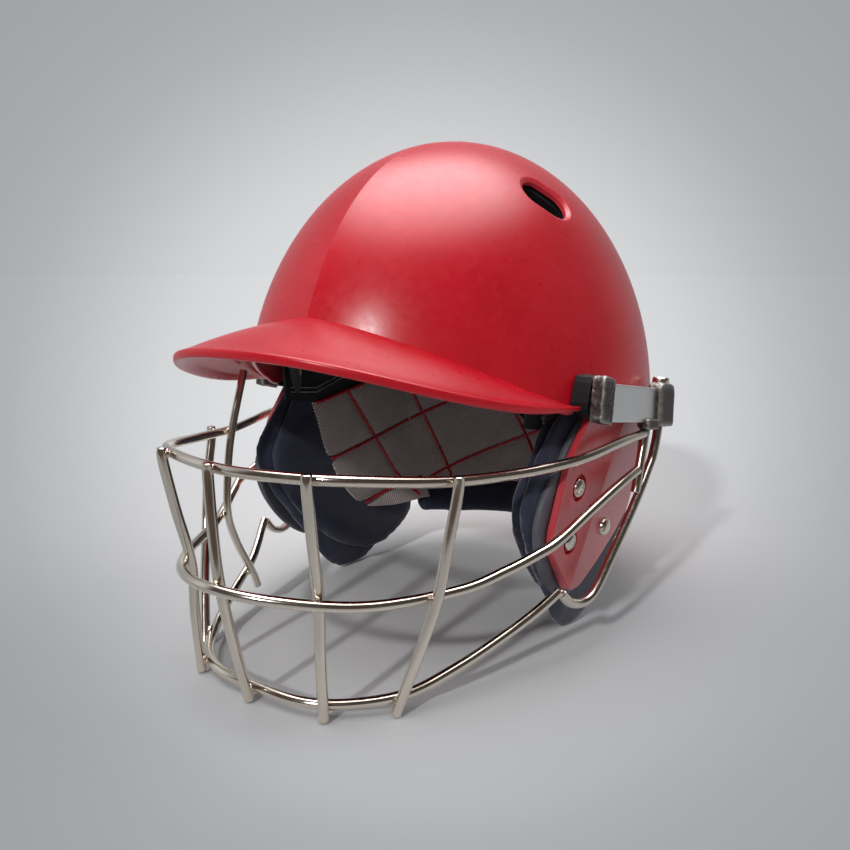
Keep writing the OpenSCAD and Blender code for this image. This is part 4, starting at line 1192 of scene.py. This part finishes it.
def makeBrow():
    u, v = unitGrid(40, 160)
    a = (2 * u - 1) * brow["reach"]
    z = browHeight(a, v)
    outer = onDome(downTo(z, lining["panelFace"]), a, lining["panelFace"])
    slabPiece("browPad", outer, browPoint(a, v), np.stack([a * 1.6, z], axis=-1), browCloth,
              ["brow_band"], flip=True)

    def seam(s, lift):
        return browPoint((2 * s - 1) * brow["rowReach"], 1 - inset / brow["fall"], 0.15 + 0.2 * lift)

    rows = []
    for inset in brow["rowsFromEdge"]:
        rows.append(stitchRow(seam, brow["stitches"]))
    points, faces = joined(rows)
    addPiece("browStitching", points, faces, stitchThread, "helmet")


wing = {"front": -61, "back": 6, "top": 150, "x": (78.2, 75.4), "thick": 2.4, "rise": (4.6, 7.2)}


def wingFoot(y):  # lower edge of the band's side wing, along the lining's upper piping
    return np.where(y > -38, 117.4 + 0.16 * y, 111.3 - 0.2 * (y + 38))


def wingPoint(y, z, out=0.0):
    lean = smooth((y - wing["front"]) / 24) * (wing["x"][0] - wing["x"][1])
    return np.stack([wing["x"][0] - lean - out + 0 * z, y + 0 * z, z + 0 * y], axis=-1)


def makeWing(side, word):  # the brow band's end, which laps over the top of the side lining
    u, v = unitGrid(24, 60)
    y = wing["front"] + (wing["back"] - wing["front"]) * u
    z = wing["top"] + (wingFoot(y) - wing["top"]) * v
    slabPiece(word + "BrowWing", wingPoint(y, z, -wing["thick"] * 0.4), wingPoint(y, z, wing["thick"] * 0.3),
              np.stack([y, z], axis=-1), browCloth, (), side)
    foot = np.linspace(-38, wing["back"], 40)
    front = np.linspace(wingFoot(np.array(wing["front"])) + 0.4, 138, 20)
    edges = [wingPoint(foot, wingFoot(foot), wing["thick"] * 0.5),
             wingPoint(np.full(20, wing["front"] + 0.3), front, wing["thick"] * 0.5)]
    points, faces = joined([tube(p, brow["piping"], 12) for p in edges])
    addPiece(word + "WingPiping", points, faces, pipingRed, "helmet", (), side, sharp=50)
    points, faces = tube(wingPoint(np.full(20, wing["front"] - 1.6), front + 2, 0.4), 0.9, 10)
    addPiece(word + "WingTape", points, faces, edgeTape, "helmet", (), side, sharp=50)

    def seam(s, lift):
        place = -57 + 50 * s
        return wingPoint(place, wingFoot(np.array(place)) + gap + 5 * s,
                         wing["thick"] * 0.3 + 0.15 + 0.25 * lift)

    rows = []
    for gap in wing["rise"]:
        rows.append(stitchRow(seam, 22))
    points, faces = joined(rows)
    addPiece(word + "WingStitching", points, faces, stitchThread, "helmet", (), side)


roll = {"from": 122, "z": 33, "halfHeight": 9.8, "depth": 11.8, "halfThick": 6.2}


def squared(value):  # a sine or cosine pushed out towards a rounded square
    return math.copysign(abs(value) ** 0.75, value)


def makeNeckRoll():
    rings = []
    for angle in np.linspace(roll["from"], 360 - roll["from"], 100):
        ends = 1 - 0.35 * smooth(abs(angle - 180) / (180 - roll["from"]) * 1.6 - 0.9)
        ring = []
        for t in 2 * math.pi * np.arange(28) / 28:
            z = roll["z"] + roll["halfHeight"] * ends * squared(math.sin(t))
            depth = roll["depth"] + roll["halfThick"] * ends * squared(-math.cos(t))
            ring.append(onDome(downTo(z, depth), angle, depth))
        rings.append(ring)
    rings = np.array(rings)
    made = addPiece("neckRoll", rings.reshape(-1, 3), ringFaces(*rings.shape[:2]), padNavy, "helmet",
                    ["neck_roll"])
    inflate(made, cap=1.5)


def makeCrownPad():
    steps = [(1, 0), (8, 0), (15, 0), (19, 0.4), (21, 1.6), (21.5, 3.2), (21, 5), (19.4, 6.6), (16, 7.6),
             (12, 8), (6, 8.1), (1, 8.1)]
    rings = np.array([[onDome(p, j * 6, lining["panelFace"] + d) for j in range(60)] for p, d in steps])
    made = addPiece("crownPad", rings.reshape(-1, 3), ringFaces(len(steps), 60, flip=True), browCloth, "helmet",
                    ["crown_pad"])


makeBrow()
for side, word in sides:
    makeWing(side, word)
makeNeckRoll()
makeCrownPad()
print("bands and rolls made")

# Side brackets: hammered cast blocks and a bevelled strap

bracket = {
    "hinge": {"y": (-50.2, -37.6), "z": 130, "tall": 21.5, "x": (105.8, 112.6), "lean": 14, "lump": 0.42},
    "clamp": {"y": (21.8, 42.5), "z": 118.2, "tall": 23.5, "x": (105.8, 114.2), "lean": 8.6, "lump": 0.2},
    "lug": {"y": (6.2, 21.4), "z": 110.4, "tall": 5.6, "x": (106.8, 113.6), "lean": 8.6, "lump": 0.22},
    "strap": {"y": (-40, 23.5), "z": 123.6, "tall": 18.4, "x": (107.4, 111.0), "lean": 8.6, "lump": 0.0},
}


def bracketLoop(spec, corners):  # a leaning outline, [y, z], with its own corner radii
    (y0, y1), half = spec["y"], spec["tall"] / 2
    lean = math.tan(math.radians(spec["lean"]))
    middle = (y0 + y1) / 2
    shape = [(y0, -half), (y1, -half), (y1, half), (y0, half)]
    shape = [[y + 0.5 * lean * dz * (spec is bracket["hinge"]), spec["z"] - lean * (y - middle) + dz]
             for y, dz in shape]
    return roundedLoop(shape, corners, 8, 0.9)


def bracketPiece(spec, corners, bevel):
    loop = bracketLoop(spec, corners)
    x0, x1 = spec["x"]
    centre = loop.mean(0)
    steps = [(x0, bevel)] + [(x, 0.0) for x in np.linspace(x0 + bevel, x1 - bevel, 8)]
    steps.append((x1 - bevel * 0.3, bevel * 0.3))
    rings = []
    for x, inset in steps:
        ring = insetLoop(loop, inset)
        rings.append(np.column_stack([np.full(len(ring), x), ring]))
    for share in (0.0, 0.18, 0.36, 0.54, 0.72, 0.9):
        ring = insetLoop(loop, bevel)
        ring = ring + (centre - ring) * share
        rings.append(np.column_stack([np.full(len(ring), x1), ring]))
    points = np.vstack(rings)
    middle = np.array([(x0 + x1) / 2, *centre])
    if spec["lump"]:
        for i, point in enumerate(points):
            push = noise.noise(Vector(point * 0.42)) + 0.5 * noise.noise(Vector(point * 0.95))
            points[i] += unit(point - middle) * push * spec["lump"]
    return points, ringFaces(len(rings), len(loop))


def makeBrackets(side, word):
    blocks = (
        ("HingeBlock", [("hinge", (1.6, 1.0, 1.6, 3.4), 0.9)], castBracket, "helmet", "cast_bracket",
         "hinge_block_", 50),
        ("ClampBlock", [("clamp", (2.0, 3.0, 6.0, 4.5), 1.6), ("lug", (1.6,) * 4, 1.0)], castBracket,
         "guard", "cast_bracket", "clamp_block_", 50),
        ("Strap", [("strap", (0.8,) * 4, 0.55)], brushedSteel, "guard", "stainless_strap", "strap_", 30),
    )
    for name, shapes, finish, body, slot, node, sharp in blocks:
        points, faces = joined([bracketPiece(bracket[key], corners, bevel) for key, corners, bevel in shapes])
        addPiece(word + name, points, faces, finish, body, [node + word], side, sharp=sharp)


for side, word in sides:
    makeBrackets(side, word)
print("brackets made")

# Pieces kept from the frame: softened edges and a finish

kept = (
    (screwNickel, 0.2, ["clamp_screw_left", "clamp_screw_right", "tilt_pin_left", "tilt_pin_right",
                        "plate_nuts_left", "plate_nuts_right"]),
    (blackRubber, 0.3, ["bracket_gasket_left", "bracket_gasket_right"]),
    (linerFoam, 0.0, ["impact_liner"]),
)
for finish, width, names in kept:
    for name in names:
        obj = nodes[name]
        obj.data.materials.clear()
        obj.data.materials.append(finish)
        weld = obj.modifiers.new("weld", "WELD")
        weld.merge_threshold = 0.00001
        if width:
            flat = obj.modifiers.new("flat", "DECIMATE")
            flat.decimate_type = "DISSOLVE"
            flat.angle_limit = math.radians(2)
            bevel = obj.modifiers.new("bevel", "BEVEL")
            bevel.width, bevel.segments, bevel.limit_method = width * mm, 2, "ANGLE"
            bevel.angle_limit = math.radians(35)
            bevel.harden_normals = False
print("frame pieces dressed")

# Stage, light and camera

photoView = {"position": (261.1, -399.0, 188.8), "forward": (-0.5695, 0.8013, -0.1833), "lens": 35.07,
             "sensor": 36.0}
photoAxis = tuple(unit(np.array(photoView["forward"])))
backdrop = {"centre": (240, 241, 242), "steps": [(0.32, (211, 212, 214)), (0.435, (188, 190, 193)),
            (0.507, (175, 178, 181)), (0.58, (168, 171, 174)), (0.7, (162, 165, 168))]}
lamps = {
    "key": {"from": (-6, 29), "strength": 1.3, "spread": 3.4, "mirrored": True},
    "top": {"from": (40, 74), "strength": 1.32, "spread": 46, "mirrored": False},
    "rear": {"from": (-140, 30), "strength": 0.45, "spread": 40, "mirrored": False},
}
panels = (
    {"from": (84, 8), "edge": (44, 26), "colour": (0.62, 0.63, 0.66, 1)},
    {"from": (150, 77), "edge": (41, 3), "colour": (8.2, 8.2, 8.4, 1)},
)
room = {"ambient": (0.34, 0.34, 0.34, 1), "walls": (0.06, 0.05, 0.046, 1),
        "floorAhead": (0.09, 0.066, 0.054, 1), "floorFrom": (0.28, 0.5), "backdropFrom": (0.1, 0.65)}


def glowGroup():  # the backdrop's round glow, by direction from where the photograph was taken
    tree, given, result = newGroup("backdropGlow", {"Vector": None}, {"Color": "Color"})
    way = put(tree, "VectorMath", {"operation": "NORMALIZE"}, at0=given["Vector"]).outputs[0]
    angle = maths(tree, "ARCCOSINE", maths(tree, "MINIMUM", dotted(tree, way, photoAxis), 0.99999))
    away = maths(tree, "TANGENT", maths(tree, "MINIMUM", angle, 0.75))
    ramp = put(tree, "ValToRGB", Fac=away)
    first, last = ramp.color_ramp.elements
    first.color = tone(*backdrop["centre"])
    last.position, last.color = backdrop["steps"][-1][0], tone(*backdrop["steps"][-1][1])
    for spot, colour in backdrop["steps"][:-1]:
        ramp.color_ramp.elements.new(spot).color = tone(*colour)
    tree.links.new(ramp.outputs[0], result["Color"])
    return tree


def lampWay(spot):  # from (degrees round from the front towards the wearer's right, degrees up)
    around, up = (math.radians(v) for v in spot)
    return np.array([-math.sin(around) * math.cos(up), -math.cos(around) * math.cos(up), math.sin(up)])


def makeFloor(glow):
    mesh = bpy.data.meshes.new("floor")
    turns = 96
    points = [(0, 0, 0)] + [(r * math.cos(2 * math.pi * j / turns), r * math.sin(2 * math.pi * j / turns), 0)
                            for r in (0.6, 3, 40) for j in range(turns)]
    faces = [(0, 1 + j, 1 + (j + 1) % turns) for j in range(turns)]
    faces += [[f + 1 for f in face[::-1]] for face in gridFaces(3, turns, closed=True)]
    mesh.from_pydata(points, [], faces)
    floor = bpy.data.objects.new("floor", mesh)
    scene.collection.objects.link(floor)
    floor.location.z = -0.0003
    made, tree, shader = newFinish("floorPaper")
    place = put(tree, "NewGeometry").outputs["Position"]
    eye = tuple(toFrame([photoView["position"]])[0])
    ray = put(tree, "VectorMath", {"operation": "SUBTRACT"}, at0=place, at1=eye).outputs[0]
    toward = tuple(-unit(np.array(photoView["forward"]) * (1, 1, 0)))
    far = softStep(tree, dotted(tree, place, toward), *room["floorFrom"])
    mirrored = maths(tree, "MULTIPLY", far, put(tree, "LightPath").outputs["Is Glossy Ray"])
    # the floor's colour carries the backdrop's round glow: a pool of light painted brighter round the view's
    # middle
    glowOnFloor = useGroup(tree, glow, Vector=ray)["Color"]
    setShader(tree, shader, Base_Color=mixed(tree, mirrored, glowOnFloor, room["floorAhead"]),
              Roughness=0.9, Specular_IOR_Level=0.0)
    mesh.materials.append(made)


def makeWorld(glow):
    world = bpy.data.worlds.new("studio")
    scene.world = world
    world.use_nodes = True
    tree = world.node_tree
    tree.nodes.clear()
    way = put(tree, "TexCoord").outputs["Generated"]
    seen = useGroup(tree, glow, Vector=way)["Color"]
    around = room["walls"]
    for panel in panels:
        outer, inner = (math.cos(math.radians(v)) for v in panel["edge"])
        mask = softStep(tree, dotted(tree, way, tuple(lampWay(panel["from"]))), outer, inner)
        around = mixed(tree, mask, around, panel["colour"])
    rays = put(tree, "LightPath").outputs
    glossy = maths(tree, "MAXIMUM", rays["Is Glossy Ray"], rays["Is Transmission Ray"])
    around = mixed(tree, glossy, room["ambient"], around)
    lit = softStep(tree, dotted(tree, way, photoAxis), *room["backdropFrom"])
    share = maths(tree, "MAXIMUM", rays["Is Camera Ray"], maths(tree, "MULTIPLY", glossy, lit))
    back = put(tree, "Background", Color=mixed(tree, share, around, seen), Strength=1.0)
    tree.links.new(back.outputs[0], put(tree, "OutputWorld").inputs[0])


def makeLamps():
    for name, spec in lamps.items():
        lamp = bpy.data.lights.new(name + "Light", "SUN")
        lamp.energy, lamp.angle = spec["strength"], math.radians(spec["spread"])
        obj = bpy.data.objects.new(name + "Light", lamp)
        obj.rotation_mode = "QUATERNION"
        obj.rotation_quaternion = Vector(lampWay(spec["from"])).to_track_quat("Z", "Y")
        obj.visible_glossy = spec["mirrored"]
        scene.collection.objects.link(obj)


def makeCamera():
    lens = bpy.data.cameras.new("photoCamera")
    lens.lens, lens.sensor_width = photoView["lens"], photoView["sensor"]
    lens.clip_start, lens.clip_end = 0.02, 100
    camera = bpy.data.objects.new("photoCamera", lens)
    scene.collection.objects.link(camera)
    camera.location = toFrame([photoView["position"]])[0]
    camera.rotation_mode = "QUATERNION"
    camera.rotation_quaternion = Vector(photoView["forward"]).to_track_quat("-Z", "Y")
    scene.camera = camera


backdropGlow = glowGroup()
makeFloor(backdropGlow)
makeWorld(backdropGlow)
makeLamps()
makeCamera()
scene.view_settings.view_transform = "Standard"
print("stage, light and camera made")
